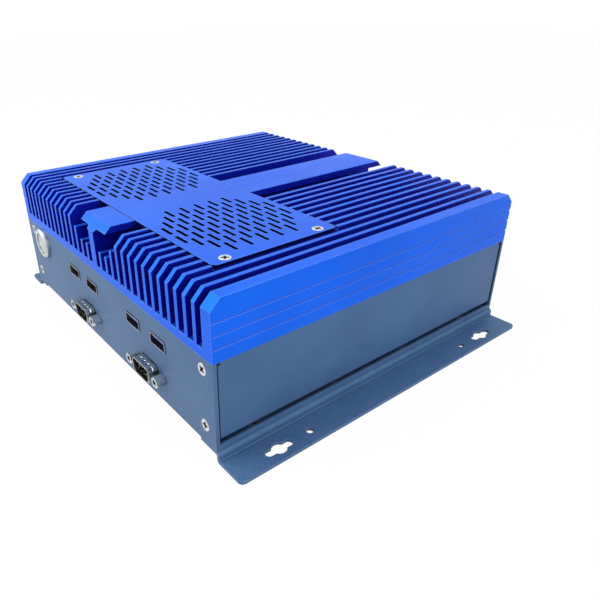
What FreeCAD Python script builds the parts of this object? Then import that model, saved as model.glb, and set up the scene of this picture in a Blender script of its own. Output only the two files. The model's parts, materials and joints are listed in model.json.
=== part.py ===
import FreeCAD, Part
import os
import re
import Sketcher

# Fanless industrial computer: a finned aluminium extrusion closes a shallow sheet-metal chassis.
# Frame: X to the right seen from the front, Y to the rear, Z up, in millimetres. The origin is
# centred under the case, on the surface that the two mounting brackets stand on.

V = FreeCAD.Vector
doc = FreeCAD.newDocument("fanless_industrial_pc")
sheet = doc.addObject("Spreadsheet::Sheet", "Sizes")

# ---------------------------------------------------------------------------------------------
# Driving sizes: name, value, meaning
# ---------------------------------------------------------------------------------------------
SIZES = [
    ("case_width", 210, "overall width of heatsink and panels"),
    ("case_depth", 196, "overall depth"),
    ("chassis_bottom", 5.5, "underside of the tray above the mounting face"),
    ("chassis_height", 43, "underside of the tray to underside of the heatsink"),
    ("overcut", 1, "how far cutting tools reach past the metal"),
    ("sink_height", 27.5, "heatsink height"),
    ("sink_base", 4.2, "heatsink base plate"),
    ("fin_thick", 2.2, "fin thickness"),
    ("fin_pitch", 6.6, "fin spacing"),
    ("fin_first", 7.8, "centre of the first low fin from the mid-plane"),
    ("low_fins", 2, "low fins on each side of the spine"),
    ("low_fin_top", 13.2, "top of the two low fins above the heatsink underside"),
    ("step_fin_top", 18.5, "top of the middle-height fin above the heatsink underside"),
    ("wall_thick", 6.2, "thickness of the heatsink's two outer walls"),
    ("end_chamfer", 4.8, "chamfer across the fin ends"),
    ("web_thick", 5.2, "web of the central T-shaped spine"),
    ("cap_width", 28, "cap of the spine"),
    ("cap_thick", 3.3, "thickness of the cap"),
    ("cap_gusset", 2.2, "slope where web and cap meet"),
    ("groove_first", 6.3, "first side groove above the heatsink underside"),
    ("groove_pitch", 5.8, "spacing of the side grooves"),
    ("groove_width", 0.9, "side groove width"),
    ("groove_depth", 0.5, "side groove depth"),
    ("vent_setback", 17.9, "front of the case to the vent plate"),
    ("vent_depth", 69.5, "vent plate, front to rear"),
    ("vent_fins", 11, "the fin under the vent plate's side edge, counted from the first"),
    ("vent_thick", 1.6, "vent plate thickness"),
    ("vent_gap", 0.5, "seam round the vent plate"),
    ("vent_corner", 3, "vent plate corner radius"),
    ("field_offset", 42.7, "centre of each slot field from the mid-plane"),
    ("slot_length", 10, "vent slot length"),
    ("slot_width", 1.9, "vent slot width"),
    ("slot_pitch", 13, "vent slots along a row"),
    ("row_pitch", 4.3, "spacing of the slot rows"),
    ("vent_screw_offset", 26.15, "vent plate screws from the plate's middle, along Y"),
    ("panel_thick", 1.9, "front panel thickness"),
    ("rear_thick", 1.5, "rear panel thickness"),
    ("panel_screw_inset", 7.9, "panel corner screws from the side of the case"),
    ("panel_screw_drop", 6, "upper panel screws below the heatsink"),
    ("panel_screw_low", 34, "lower panel screws below the heatsink"),
    ("skin_inset", 0.4, "side panel face inside the heatsink's side"),
    ("skin_thick", 1.2, "side panel sheet"),
    ("skin_bend", 1.5, "outer bend radius of the side panel"),
    ("flange_reach", 13, "reach of the side panel's inward flanges"),
    ("relief", 2, "bend relief at the side panel's corners"),
    ("tray_thick", 1.5, "tray sheet"),
    ("tray_lip", 2.7, "height of the tray's side lips"),
    ("spacer_height", 3.1, "spacers between the tray and the side panel"),
    ("spacer_flats", 6, "hexagonal spacers across flats"),
    ("bracket_thick", 1.5, "bracket sheet"),
    ("bracket_reach", 16.9, "bracket foot beyond the side of the case"),
    ("bracket_tuck", 12, "bracket leg under the tray"),
    ("bracket_bend", 2, "outer bend radius of the bracket"),
    ("bracket_corner", 2.5, "corner radius of the bracket foot"),
    ("bracket_line", 10.5, "line of the mounting holes beyond the side of the case"),
    ("keyhole_place", 73.3, "mounting keyholes from the middle, along Y"),
    ("keyhole_dia", 7, "round middle of a keyhole"),
    ("keyhole_slot", 3.9, "width of a keyhole's slots"),
    ("keyhole_length", 14.5, "length of a keyhole"),
    ("small_hole_place", 55.7, "small mounting holes from the middle, along Y"),
    ("small_hole_dia", 3.4, "small mounting hole"),
    ("bracket_screw_place", 75, "outermost bracket screws from the middle, along Y"),
    ("bracket_screw_pitch", 50, "bracket screw spacing"),
    ("bracket_screw_inset", 6, "bracket screws from the side of the case"),
    ("screw_dia", 3, "M3 shank"),
    ("tap_fit", 0.1, "tapped hole over shank, across"),
    ("clear_fit", 0.4, "clearance hole over shank, across"),
    ("sunk_head", 5.7, "countersunk head diameter"),
    ("sunk_fit", 0.1, "countersink over head, across"),
    ("pan_head", 5.5, "pan head diameter"),
    ("pan_height", 1.8, "pan head height"),
    ("base_hole_depth", 3.4, "blind tapped holes in the heatsink base"),
    ("base_bite", 3, "screw length inside those holes"),
    ("vent_screw_length", 25, "vent plate screws"),
    ("panel_screw_length", 6, "panel screws"),
    ("bracket_screw_length", 8, "bracket screws"),
    ("board_screw_length", 5.5, "circuit board screws"),
    ("sink_screw_place", 80, "outer side panel to heatsink screws from the middle, along Y"),
    ("sink_screw_inset", 5, "those screws from the side of the case"),
    ("usb_1_x", -32.6, "first port from the mid-plane"),
    ("usb_2_x", -9.5, "second port"),
    ("usb_3_x", 37.5, "third port"),
    ("usb_4_x", 61.2, "fourth port"),
    ("usb_width", 13.1, "port shell width"),
    ("usb_tall", 5.7, "port shell height"),
    ("usb_deep", 14, "port shell depth"),
    ("usb_sheet", 0.4, "port shell sheet"),
    ("usb_lift", 0.65, "port shell above the main board"),
    ("usb_window_gap", 0.3, "panel window round a port"),
    ("usb_proud", 0.4, "port shell in front of the panel"),
    ("usb_foot", 2, "length of a port shell's feet"),
    ("usb_back", 3, "block that closes the back of a port"),
    ("tongue_width", 11.1, "port tongue width"),
    ("tongue_thick", 1.9, "port tongue thickness"),
    ("tongue_lift", 0.3, "underside of the tongue above the port's axis"),
    ("tongue_setback", 1, "tip of the tongue behind the port's mouth"),
    ("serial_1_x", -18, "first serial port from the mid-plane"),
    ("serial_2_x", 51, "second serial port"),
    ("d_width", 16.9, "D-shaped shell, wide side"),
    ("d_slope", 1.5, "each sloping side of the D shell inward"),
    ("d_tall", 8.4, "D-shaped shell height"),
    ("d_round", 2.5, "D-shaped shell corner radius"),
    ("d_sheet", 0.5, "D-shaped shell sheet"),
    ("d_proud", 5.2, "D-shaped shell in front of its panel"),
    ("d_flange_width", 30.8, "serial port flange width"),
    ("d_flange_tall", 12.4, "serial port flange height"),
    ("d_flange_thick", 1, "serial port flange sheet"),
    ("d_body_deep", 10, "serial port body behind its flange"),
    ("d_window_gap", 0.3, "panel window round a D-shaped shell"),
    ("jack_offset", 12.5, "jackscrews from the port centre"),
    ("jack_flats", 4.8, "jackscrew hexagon across flats"),
    ("jack_proud", 5, "jackscrew in front of the panel"),
    ("jack_thread", 2.8, "jackscrew thread"),
    ("jack_floor", 1, "metal behind the bore of a jackscrew"),
    ("pin_dia", 1, "serial port pin"),
    ("pin_pitch", 2.77, "serial port pin spacing"),
    ("pin_row", 2.84, "serial port pin rows apart"),
    ("pin_setback", 1, "pin tips behind the rim of the shell"),
    ("button_inset", 25.5, "push button from the left side of the case"),
    ("button_drop", 9.5, "push button axis below the heatsink"),
    ("bezel_dia", 18, "button bezel"),
    ("bezel_proud", 2.5, "bezel in front of the panel"),
    ("bezel_slope", 0.8, "bevel of the bezel's rim"),
    ("barrel_dia", 16, "button barrel"),
    ("barrel_bore", 14, "bore of the barrel"),
    ("barrel_deep", 8, "barrel behind the panel"),
    ("lip_bore", 12.4, "mouth of the bezel"),
    ("lip_thick", 1.5, "lip that keeps the cap in"),
    ("cap_gap", 0.3, "running clearance round the cap"),
    ("cap_sunk", 0.6, "face of the cap behind the rim"),
    ("cap_long", 6.5, "cap length"),
    ("cap_travel", 2.5, "button travel"),
    ("stem_dia", 5, "stem of the cap"),
    ("stem_long", 6.5, "stem length behind the cap"),
    ("nut_dia", 18, "ring nut of the button"),
    ("nut_thick", 2, "ring nut thickness"),
    ("switch_dia", 14, "switch body behind the barrel"),
    ("switch_deep", 14, "switch body length"),
    ("board_gap", 6.6, "main board's side edges from the side panels' flanges"),
    ("board_setback", 4, "main board's ends inside the front and rear of the case"),
    ("board_thick", 1.6, "circuit board thickness"),
    ("board_drop", 15, "main board top below the heatsink"),
    ("notch_width", 26, "main board corner notch beside the button"),
    ("notch_depth", 34, "main board corner notch, front to rear"),
    ("post_inset", 5, "main board posts from its side edges"),
    ("post_y", 52, "main board posts from the middle, along Y"),
    ("post_flats", 5.5, "posts across flats"),
    ("chip_side", 28, "processor package"),
    ("chip_tall", 2, "processor package height"),
    ("pad_thick", 0.5, "thermal pad"),
    ("block_side", 60, "heat spreading block"),
    ("block_screw_inset", 5, "block screws from its edges"),
    ("heat_x", 8, "processor centre from the mid-plane"),
    ("heat_y", 12, "processor centre from the middle, along Y"),
    ("memory_length", 67.6, "memory module length"),
    ("memory_deep", 30, "memory module width"),
    ("memory_thick", 1.2, "memory module board"),
    ("memory_lift", 3, "memory module above the main board"),
    ("memory_chip_width", 12, "memory chip width"),
    ("memory_chip_near", 7, "front of the memory chips from the module's middle"),
    ("memory_chip_far", 3, "rear of the memory chips from the module's middle"),
    ("memory_chip_tall", 1, "memory chip height"),
    ("memory_grip", 3, "memory socket over the module's edge, and behind it"),
    ("memory_cover", 1, "memory socket above and beside the module"),
    ("memory_fit", 0.1, "clearance at the module's ends"),
    ("memory_arm", 0.8, "memory socket arm thickness"),
    ("memory_x", 30, "memory module centre from the mid-plane"),
    ("memory_y", -52, "memory module centre from the middle, along Y"),
    ("card_length", 80, "storage card length"),
    ("card_width", 22, "storage card width"),
    ("card_thick", 0.8, "storage card board"),
    ("card_lift", 2.5, "storage card above the main board"),
    ("card_chip_width", 14, "storage chip width"),
    ("card_chip_length", 16, "storage chip length"),
    ("card_chip_offset", 12, "storage chips from the card's middle"),
    ("card_chip_tall", 1.2, "storage chip height"),
    ("card_socket_back", 4, "storage card socket beyond the card's end"),
    ("card_socket_grip", 3, "storage card socket over the card's end"),
    ("card_socket_cover", 0.9, "storage card socket above the card"),
    ("card_x", -50, "storage card centre from the mid-plane"),
    ("card_y", 10, "storage card centre from the middle, along Y"),
    ("cell_dia", 20, "coin cell"),
    ("cell_thick", 3.2, "coin cell thickness"),
    ("cell_lift", 0.6, "coin cell above the main board"),
    ("cell_rim", 1.5, "wall of the coin cell holder"),
    ("cell_holder_tall", 3.4, "coin cell holder height"),
    ("cell_x", 60, "coin cell from the mid-plane"),
    ("cell_y", 40, "coin cell from the middle, along Y"),
    ("serial_board_width", 118, "serial board width"),
    ("serial_board_depth", 34, "serial board depth"),
    ("serial_board_x", 16.5, "serial board centre from the mid-plane"),
    ("serial_board_lift", 3.9, "serial board above the tray floor"),
    ("serial_post_inset", 5, "serial board posts from its edges"),
    ("post_stub_dia", 4.2, "stub of a post in the tray"),
    ("link_width", 26, "board to board connector width"),
    ("link_deep", 5, "board to board connector depth"),
    ("drive_width", 69.85, "storage drive width"),
    ("drive_length", 100, "storage drive length"),
    ("drive_tall", 7, "storage drive height"),
    ("drive_x", -45, "storage drive centre from the mid-plane"),
    ("drive_y", 20, "storage drive centre from the middle, along Y"),
    ("drive_hole_x", 61.72, "drive screws apart, along X"),
    ("drive_hole_y", 76.6, "drive screws apart, along Y"),
    ("drive_screw_length", 4, "drive screws"),
    ("lan_1_x", -20, "first network port from the mid-plane"),
    ("lan_2_x", 2, "second network port"),
    ("lan_width", 16, "network port width"),
    ("lan_tall", 13.4, "network port height"),
    ("lan_deep", 21, "network port depth"),
    ("lan_mouth_width", 11.8, "network socket width"),
    ("lan_mouth_deep", 13, "network socket depth"),
    ("lan_mouth_low", 3.4, "bottom of the network socket above the board"),
    ("lan_mouth_high", 10, "top of the network socket above the board"),
    ("latch_width", 6, "latch recess width"),
    ("latch_low", 1, "bottom of the latch recess above the board"),
    ("rear_window_gap", 0.3, "rear panel window round a port"),
    ("rear_proud", 0.5, "rear ports behind the rear panel's outer face"),
    ("video_1_inset", 75, "digital video port from the right side of the case"),
    ("video_1_width", 15, "digital video port width"),
    ("video_1_tall", 5.6, "digital video port height"),
    ("video_1_deep", 12, "digital video port depth"),
    ("video_1_back", 2, "back wall of the digital video port"),
    ("video_1_tongue", 12, "its tongue width"),
    ("video_1_tongue_thick", 1.4, "its tongue thickness"),
    ("video_1_setback", 2, "tip of its tongue behind its mouth"),
    ("video_2_inset", 43, "analogue video port from the right side of the case"),
    ("video_2_setback", 0.5, "face of its insert behind the rim of its shell"),
    ("inlet_inset", 45, "power inlet from the left side of the case"),
    ("inlet_dia", 8, "power inlet barrel"),
    ("inlet_bore", 6.3, "power inlet bore"),
    ("inlet_floor", 3, "power inlet behind its bore"),
    ("inlet_pin", 2, "power inlet centre pin"),
    ("inlet_pin_setback", 1, "tip of the pin behind the rim of the barrel"),
    ("inlet_nut", 11, "power inlet nut across flats"),
    ("inlet_nut_thick", 2.2, "power inlet nut thickness"),
    ("inlet_proud", 3, "power inlet behind the rear panel's outer face"),
    ("inlet_body", 12, "power inlet body width"),
    ("inlet_deep", 12, "power inlet body depth"),
]

# Places that follow from the sizes above: name, formula, meaning
PLACES = [
    ("half_width", "case_width / 2", "side of the case"),
    ("half_depth", "case_depth / 2", "rear of the case"),
    ("sink_bottom", "chassis_bottom + chassis_height", "underside of the heatsink"),
    ("sink_floor", "sink_bottom + sink_base", "top of the heatsink base"),
    ("sink_top", "sink_bottom + sink_height", "top of the heatsink"),
    ("panel_back", "panel_thick - half_depth", "rear face of the front panel"),
    ("rear_face", "half_depth - rear_thick", "front face of the rear panel"),
    ("tray_floor", "chassis_bottom + tray_thick", "top of the tray"),
    ("vent_near", "vent_setback - half_depth", "front edge of the vent plate"),
    ("vent_far", "vent_near + vent_depth", "rear edge of the vent plate"),
    ("vent_middle", "vent_near + vent_depth / 2", "middle of the vent plate"),
    ("vent_seat", "sink_top - vent_thick", "underside of the vent plate"),
    ("last_fin", "floor((half_width - wall_thick - fin_first - fin_thick / 2) / fin_pitch)",
     "the fin beside the outer wall, counted from the first"),
    ("vent_side", "fin_first + vent_fins * fin_pitch + fin_thick / 2",
     "side edge of the vent plate"),
    ("vent_screw_x", "fin_first + (vent_fins - 1 / 2) * fin_pitch",
     "vent screws stand between two fins"),
    ("panel_screw_x", "half_width - panel_screw_inset", "panel corner screws"),
    ("panel_screw_high_z", "sink_bottom - panel_screw_drop", "upper panel screws"),
    ("panel_screw_low_z", "sink_bottom - panel_screw_low", "lower panel screws"),
    ("skin_face", "half_width - skin_inset", "outer face of a side panel"),
    ("flange_end", "skin_face - flange_reach", "inner end of its flanges"),
    ("skin_bottom", "tray_floor + spacer_height", "underside of a side panel"),
    ("leg_bottom", "chassis_bottom - bracket_thick", "underside of a bracket's leg"),
    ("bracket_screw_x", "half_width - bracket_screw_inset", "bracket screws"),
    ("sink_screw_x", "half_width - sink_screw_inset", "side panel to heatsink screws"),
    ("hole_line", "half_width + bracket_line", "line of the mounting holes"),
    ("tap_dia", "screw_dia + tap_fit", "tapped hole"),
    ("clear_dia", "screw_dia + clear_fit", "clearance hole"),
    ("sink_chamfer", "(sunk_head + sunk_fit - clear_dia) / 2", "countersink depth"),
    ("board_half", "flange_end - board_gap", "side edge of the main board"),
    ("board_reach", "half_depth - board_setback", "front and rear edge of the main board"),
    ("post_x", "board_half - post_inset", "main board posts"),
    ("board_top", "sink_bottom - board_drop", "top of the main board"),
    ("board_under", "board_top - board_thick", "underside of the main board"),
    ("serial_board_top", "tray_floor + serial_board_lift + board_thick", "top of the serial board"),
    ("serial_z", "serial_board_top + d_flange_tall / 2", "axis of the serial ports"),
    ("usb_z", "board_top + usb_lift + usb_tall / 2", "axis of the upper ports"),
    ("button_x", "button_inset - half_width", "push button"),
    ("button_z", "sink_bottom - button_drop", "axis of the push button"),
    ("chip_top", "board_top + chip_tall", "top of the processor"),
    ("pad_top", "chip_top + pad_thick", "top of the thermal pad"),
    ("serial_board_near", "panel_back + d_flange_thick + d_window_gap", "front of the serial board"),
    ("video_1_x", "half_width - video_1_inset", "digital video port"),
    ("video_2_x", "half_width - video_2_inset", "analogue video port"),
    ("video_2_z", "board_top + d_flange_tall / 2", "axis of the analogue video port"),
    ("inlet_x", "inlet_inset - half_width", "power inlet"),
    ("inlet_z", "board_top + inlet_body / 2", "axis of the power inlet"),
]


def fill_sheet():
    """Sizes as plain numbers, places as formulas, each under its own alias."""
    row = 0
    for alias, value, meaning in SIZES:
        row += 1
        sheet.set("A%d" % row, meaning)
        sheet.set("B%d" % row, str(value))
        sheet.setAlias("B%d" % row, alias)
    for alias, formula, meaning in PLACES:
        row += 1
        sheet.set("A%d" % row, meaning)
        sheet.set("B%d" % row, "=" + formula)
        sheet.setAlias("B%d" % row, alias)
    doc.recompute()


fill_sheet()
ALIASES = {entry[0] for entry in SIZES + PLACES}
NODES = []

# How close two places are that count as one
TOUCH = 1e-6
# Sides of the bars that stand for threads, hidden heads and contact pins
THREAD_SIDES, HEAD_SIDES, PIN_SIDES = 12, 16, 8


# ---------------------------------------------------------------------------------------------
# Modelling helpers
# ---------------------------------------------------------------------------------------------
def linked(formula):
    """A formula in aliases, written so that a property outside the sheet can follow it."""
    return re.sub(r"[a-z]\w*", lambda m: "Sizes." + m.group() if m.group() in ALIASES else m.group(),
                  str(formula))


def value(formula):
    """What a formula in aliases comes to now."""
    return float(sheet.evalExpression(str(formula)))


def bind(thing, prop, formula):
    thing.setExpression(prop, linked(formula))


def keep(thing, label):
    """Marks a finished sub-part and gives it its name."""
    thing.Label = label
    NODES.append(thing)
    return thing


def place(thing, x, y, z):
    bind(thing, "Placement.Base.x", x)
    bind(thing, "Placement.Base.y", y)
    bind(thing, "Placement.Base.z", z)
    return thing


def box(x_from, x_to, y_from, y_to, z_from, z_to):
    """A block between six planes."""
    block = doc.addObject("Part::Box", "block")
    bind(block, "Length", "(%s) - (%s)" % (x_to, x_from))
    bind(block, "Width", "(%s) - (%s)" % (y_to, y_from))
    bind(block, "Height", "(%s) - (%s)" % (z_to, z_from))
    return place(block, x_from, y_from, z_from)


TURNS = {
    "up": FreeCAD.Rotation(),
    "down": FreeCAD.Rotation(V(1, 0, 0), 180),
    "front": FreeCAD.Rotation(V(1, 0, 0), 90),
    "rear": FreeCAD.Rotation(V(1, 0, 0), -90),
}


def rod(x, y, z, diameter, length, way):
    """A cylinder that starts at a point and runs up, down, to the front or to the rear."""
    bar = doc.addObject("Part::Cylinder", "rod")
    bind(bar, "Radius", "(%s) / 2" % diameter)
    bind(bar, "Height", length)
    bar.Placement = FreeCAD.Placement(V(), TURNS[way])
    return place(bar, x, y, z)


def hexagon(x, y, z, flats, length, way):
    """A hexagonal bar that starts at a point."""
    bar = doc.addObject("Part::Prism", "hexagon")
    bar.Polygon = 6
    bind(bar, "Circumradius", "(%s) / sqrt(3)" % flats)
    bind(bar, "Height", length)
    bar.Placement = FreeCAD.Placement(V(), TURNS[way])
    return place(bar, x, y, z)


def joined(pieces):
    whole = doc.addObject("Part::MultiFuse", "joined")
    whole.Shapes = pieces
    whole.Refine = True
    return whole


def less(base, tools):
    """The base with the tools taken away."""
    left = doc.addObject("Part::Cut", "less")
    left.Base = base
    left.Tool = tools[0] if len(tools) == 1 else joined(tools)
    left.Refine = True
    return left


def copies(master, places, way="up"):
    """Separate like solids in one sub-part, at points given as formulas."""
    links = []
    for x, y, z in places:
        link = doc.addObject("App::Link", "copy")
        link.LinkedObject = master
        link.LinkTransform = True
        link.Placement = FreeCAD.Placement(V(), TURNS[way])
        links.append(place(link, x, y, z))
    group = doc.addObject("Part::Compound", "group")
    group.Links = links
    return group


def together(groups):
    """Several sets of like solids as one sub-part."""
    whole = doc.addObject("Part::Compound", "group")
    whole.Links = groups
    return whole


def new_body():
    return doc.addObject("PartDesign::Body", "body")


def origin_plane(body, role):
    return [part for part in body.Origin.OriginFeatures if part.Role == role + "_Plane"][0]


def new_sketch(body, role, at):
    """A sketch on the plane across X (YZ), Y (XZ) or Z (XY) at a place along that axis."""
    sketch = body.newObject("Sketcher::SketchObject", "outline")
    sketch.AttachmentSupport = [(origin_plane(body, role), "")]
    sketch.MapMode = "FlatFace"
    bind(sketch, "AttachmentOffset.Base.z", "-(%s)" % at if role == "XZ" else at)
    return sketch


def dimension(sketch, kind, element, point, formula):
    number = sketch.addConstraint(Sketcher.Constraint(kind, -1, 1, element, point, value(formula)))
    bind(sketch, "Constraints[%d]" % number, formula)


def draw(sketch, corners):
    """A closed outline through corners given as pairs of formulas."""
    first = sketch.GeometryCount
    spots = [V(value(across), value(along), 0) for across, along in corners]
    count = len(corners)
    for n in range(count):
        sketch.addGeometry(Part.LineSegment(spots[n], spots[(n + 1) % count]), False)
    for n in range(count):
        following = first + (n + 1) % count
        sketch.addConstraint(Sketcher.Constraint("Coincident", first + n, 2, following, 1))
    for n, (across, along) in enumerate(corners):
        dimension(sketch, "DistanceX", first + n, 1, across)
        dimension(sketch, "DistanceY", first + n, 1, along)


def draw_circle(sketch, across, along, diameter):
    centre = V(value(across), value(along), 0)
    ring = sketch.addGeometry(Part.Circle(centre, V(0, 0, 1), value(diameter) / 2), False)
    dimension(sketch, "DistanceX", ring, 3, across)
    dimension(sketch, "DistanceY", ring, 3, along)
    number = sketch.addConstraint(Sketcher.Constraint("Diameter", ring, value(diameter)))
    bind(sketch, "Constraints[%d]" % number, diameter)


def rectangle(x_from, x_to, y_from, y_to):
    return [(x_from, y_from), (x_to, y_from), (x_to, y_to), (x_from, y_to)]


def extrude(kind, body, role, at, outlines, length, circles):
    """A pad or pocket that runs along the positive axis from its plane."""
    sketch = new_sketch(body, role, at)
    for corners in outlines:
        draw(sketch, corners)
    for across, along, diameter in circles:
        draw_circle(sketch, across, along, diameter)
    feature = body.newObject("PartDesign::" + kind, kind.lower())
    feature.Profile = sketch
    bind(feature, "Length", length)
    feature.Reversed = (role == "XZ") == (kind == "Pad")
    sketch.Visibility = False
    return feature


def pad(body, role, at, outlines, length, circles=()):
    return extrude("Pad", body, role, at, outlines, length, circles)


def pocket(body, role, at, outlines, length, circles=()):
    return extrude("Pocket", body, role, at, outlines, length, circles)


def pattern(body, feature, steps, mirrors=()):
    """Repeats a feature in rows (axis, count, spacing) and across origin planes."""
    multi = body.newObject("PartDesign::MultiTransform", "pattern")
    multi.Originals = [feature]
    moves = []
    for axis, count, spacing in steps:
        row = doc.addObject("PartDesign::LinearPattern", "row")
        row.Direction = (feature.Profile[0], [axis])
        row.Occurrences = count
        bind(row, "Length", "%d * (%s)" % (count - 1, spacing))
        body.addObject(row)
        moves.append(row)
    for role in mirrors:
        mirror = doc.addObject("PartDesign::Mirrored", "mirror")
        mirror.MirrorPlane = (origin_plane(body, role), [""])
        body.addObject(mirror)
        moves.append(mirror)
    multi.Transformations = moves
    body.Tip = multi
    return multi


def straight_edges(shape, axis, wanted):
    """Names of the straight edges along an axis whose middle passes a test."""
    names = []
    for number, edge in enumerate(shape.Edges, 1):
        if edge.Curve.TypeId != "Part::GeomLine":
            continue
        along = (edge.Vertexes[-1].Point - edge.Vertexes[0].Point).normalize()
        if abs(abs(along[axis]) - 1) < TOUCH and wanted(edge.CenterOfMass):
            names.append("Edge%d" % number)
    return names


def round_edges(body, radius, axis, wanted=lambda middle: True):
    doc.recompute()
    base = body.Tip
    feature = body.newObject("PartDesign::Fillet", "rounded")
    feature.Base = (base, straight_edges(base.Shape, axis, wanted))
    bind(feature, "Radius", radius)
    return feature


def countersink(body, axis, at):
    """Bevels the rim of every clearance hole in the face at a place along an axis."""
    doc.recompute()
    base = body.Tip
    names = []
    for number, edge in enumerate(base.Shape.Edges, 1):
        if edge.Curve.TypeId != "Part::GeomCircle":
            continue
        at_face = abs(edge.Curve.Center[axis] - value(at)) < TOUCH
        if at_face and abs(edge.Curve.Radius - value("clear_dia / 2")) < TOUCH:
            names.append("Edge%d" % number)
    feature = body.newObject("PartDesign::Chamfer", "countersink")
    feature.Base = (base, names)
    bind(feature, "Size", "sink_chamfer")
    return feature


# ---------------------------------------------------------------------------------------------
# Screws: masters with the top of the head at the origin and the shank pointing down
# ---------------------------------------------------------------------------------------------
def prism(x, y, z, sides, diameter, length):
    """An upright bar with few sides inside a round diameter, for threads and hidden heads."""
    bar = doc.addObject("Part::Prism", "prism")
    bar.Polygon = sides
    bind(bar, "Circumradius", "(%s) / 2" % diameter)
    bind(bar, "Height", length)
    return place(bar, x, y, z)


def sunk_screw(length):
    cone = doc.addObject("Part::Cone", "head")
    bind(cone, "Radius1", "screw_dia / 2")
    bind(cone, "Radius2", "sunk_head / 2")
    bind(cone, "Height", "(sunk_head - screw_dia) / 2")
    place(cone, "0", "0", "-(sunk_head - screw_dia) / 2")
    return joined([cone, prism("0", "0", "-(%s)" % length, THREAD_SIDES, "screw_dia", length)])


def pan_screw(length):
    head = prism("0", "0", "-pan_height", HEAD_SIDES, "pan_head", "pan_height")
    whole = "%s + pan_height" % length
    return joined([head, prism("0", "0", "-(%s)" % whole, THREAD_SIDES, "screw_dia", whole)])


def both_ways(*formulas):
    """Each formula with both signs."""
    return [sign % formula for formula in formulas for sign in ("-(%s)", "%s")]


# ---------------------------------------------------------------------------------------------
# Heatsink: one extrusion with a T-shaped spine, low and full fins and two thick outer walls,
# milled across the fin ends and for the vent plate
# ---------------------------------------------------------------------------------------------
def make_heatsink():
    body = new_body()
    pad(body, "XZ", "-half_depth", [[
        ("-half_width", "sink_bottom"), ("half_width", "sink_bottom"), ("half_width", "sink_top"),
        ("half_width - wall_thick", "sink_top"), ("half_width - wall_thick", "sink_floor"),
        ("wall_thick - half_width", "sink_floor"), ("wall_thick - half_width", "sink_top"),
        ("-half_width", "sink_top")]], "case_depth")
    reach = "(block_side / 2 - block_screw_inset)"
    holes = [(x, "%d * sink_screw_place" % n) for x in both_ways("sink_screw_x")
             for n in (-1, 0, 1)]
    holes += board_posts()
    holes += [("heat_x %s %s" % (a, reach), "heat_y %s %s" % (b, reach))
              for a in "+-" for b in "+-"]
    pocket(body, "XY", "sink_bottom - overcut", [], "base_hole_depth + overcut",
           [(x, y, "tap_dia") for x, y in holes])
    pocket(body, "XY", "sink_floor - base_hole_depth", [], "base_hole_depth + overcut",
           [(x, "vent_middle %s vent_screw_offset" % sign, "tap_dia")
            for x in both_ways("vent_screw_x") for sign in "+-"])
    groove_z = "sink_bottom + groove_first"
    groove = pocket(body, "XZ", "-half_depth - overcut", [rectangle(
        "half_width - groove_depth", "half_width + overcut",
        groove_z + " - groove_width / 2", groove_z + " + groove_width / 2")],
        "case_depth + 2 * overcut")
    pattern(body, groove, [("V_Axis", 3, "groove_pitch")], ["YZ"])

    under_cap = "sink_top - cap_thick"
    right = [("web_thick / 2", "sink_bottom + base_hole_depth"),
             ("web_thick / 2", under_cap + " - cap_gusset"),
             ("web_thick / 2 + cap_gusset", under_cap), ("cap_width / 2", under_cap),
             ("cap_width / 2", "sink_top")]
    left = [("-(%s)" % across, up) for across, up in reversed(right)]
    pad(body, "XZ", "-half_depth", [right + left], "case_depth")

    def fins(number, top, count):
        middle = "fin_first + %d * fin_pitch" % number
        fin = pad(body, "XZ", "-half_depth", [rectangle(
            middle + " - fin_thick / 2", middle + " + fin_thick / 2",
            "sink_bottom + base_hole_depth", top)], "case_depth")
        steps = [("H_Axis", count, "fin_pitch")] if count > 1 else []
        pattern(body, fin, steps, ["YZ"])

    low_fins, last_fin = int(value("low_fins")), int(value("last_fin"))
    fins(0, "sink_bottom + low_fin_top", low_fins)
    fins(low_fins, "sink_bottom + step_fin_top", 1)
    fins(low_fins + 1, "sink_top", last_fin - low_fins)

    bevel = pocket(body, "YZ", "-half_width - overcut", [[
        ("-half_depth - overcut", "sink_top - end_chamfer - overcut"),
        ("end_chamfer + overcut - half_depth", "sink_top + overcut"),
        ("-half_depth - overcut", "sink_top + overcut")]], "case_width + 2 * overcut")
    pattern(body, bevel, [], ["XZ"])
    pocket(body, "XY", "vent_seat", [rectangle(
        "-vent_side - vent_gap", "vent_side + vent_gap",
        "vent_near - vent_gap", "vent_far + vent_gap")], "vent_thick + overcut")
    return keep(body, "heatsink")


# ---------------------------------------------------------------------------------------------
# Vent plate: two round fields of staggered slots, flush with the fin tops
# ---------------------------------------------------------------------------------------------
def make_vent_plate():
    body = new_body()
    pad(body, "XY", "vent_seat", [rectangle("-vent_side", "vent_side", "vent_near", "vent_far")],
        "vent_thick")
    round_edges(body, "vent_corner", 2)
    hole = pocket(body, "XY", "vent_seat - overcut", [], "vent_thick + 2 * overcut",
                  [("vent_screw_x", "vent_middle - vent_screw_offset", "clear_dia")])
    pattern(body, hole, [("V_Axis", 2, "2 * vent_screw_offset")], ["YZ"])
    countersink(body, 2, "sink_top")
    keep(less(body, [slot_punches()]), "vent_plate")


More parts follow.
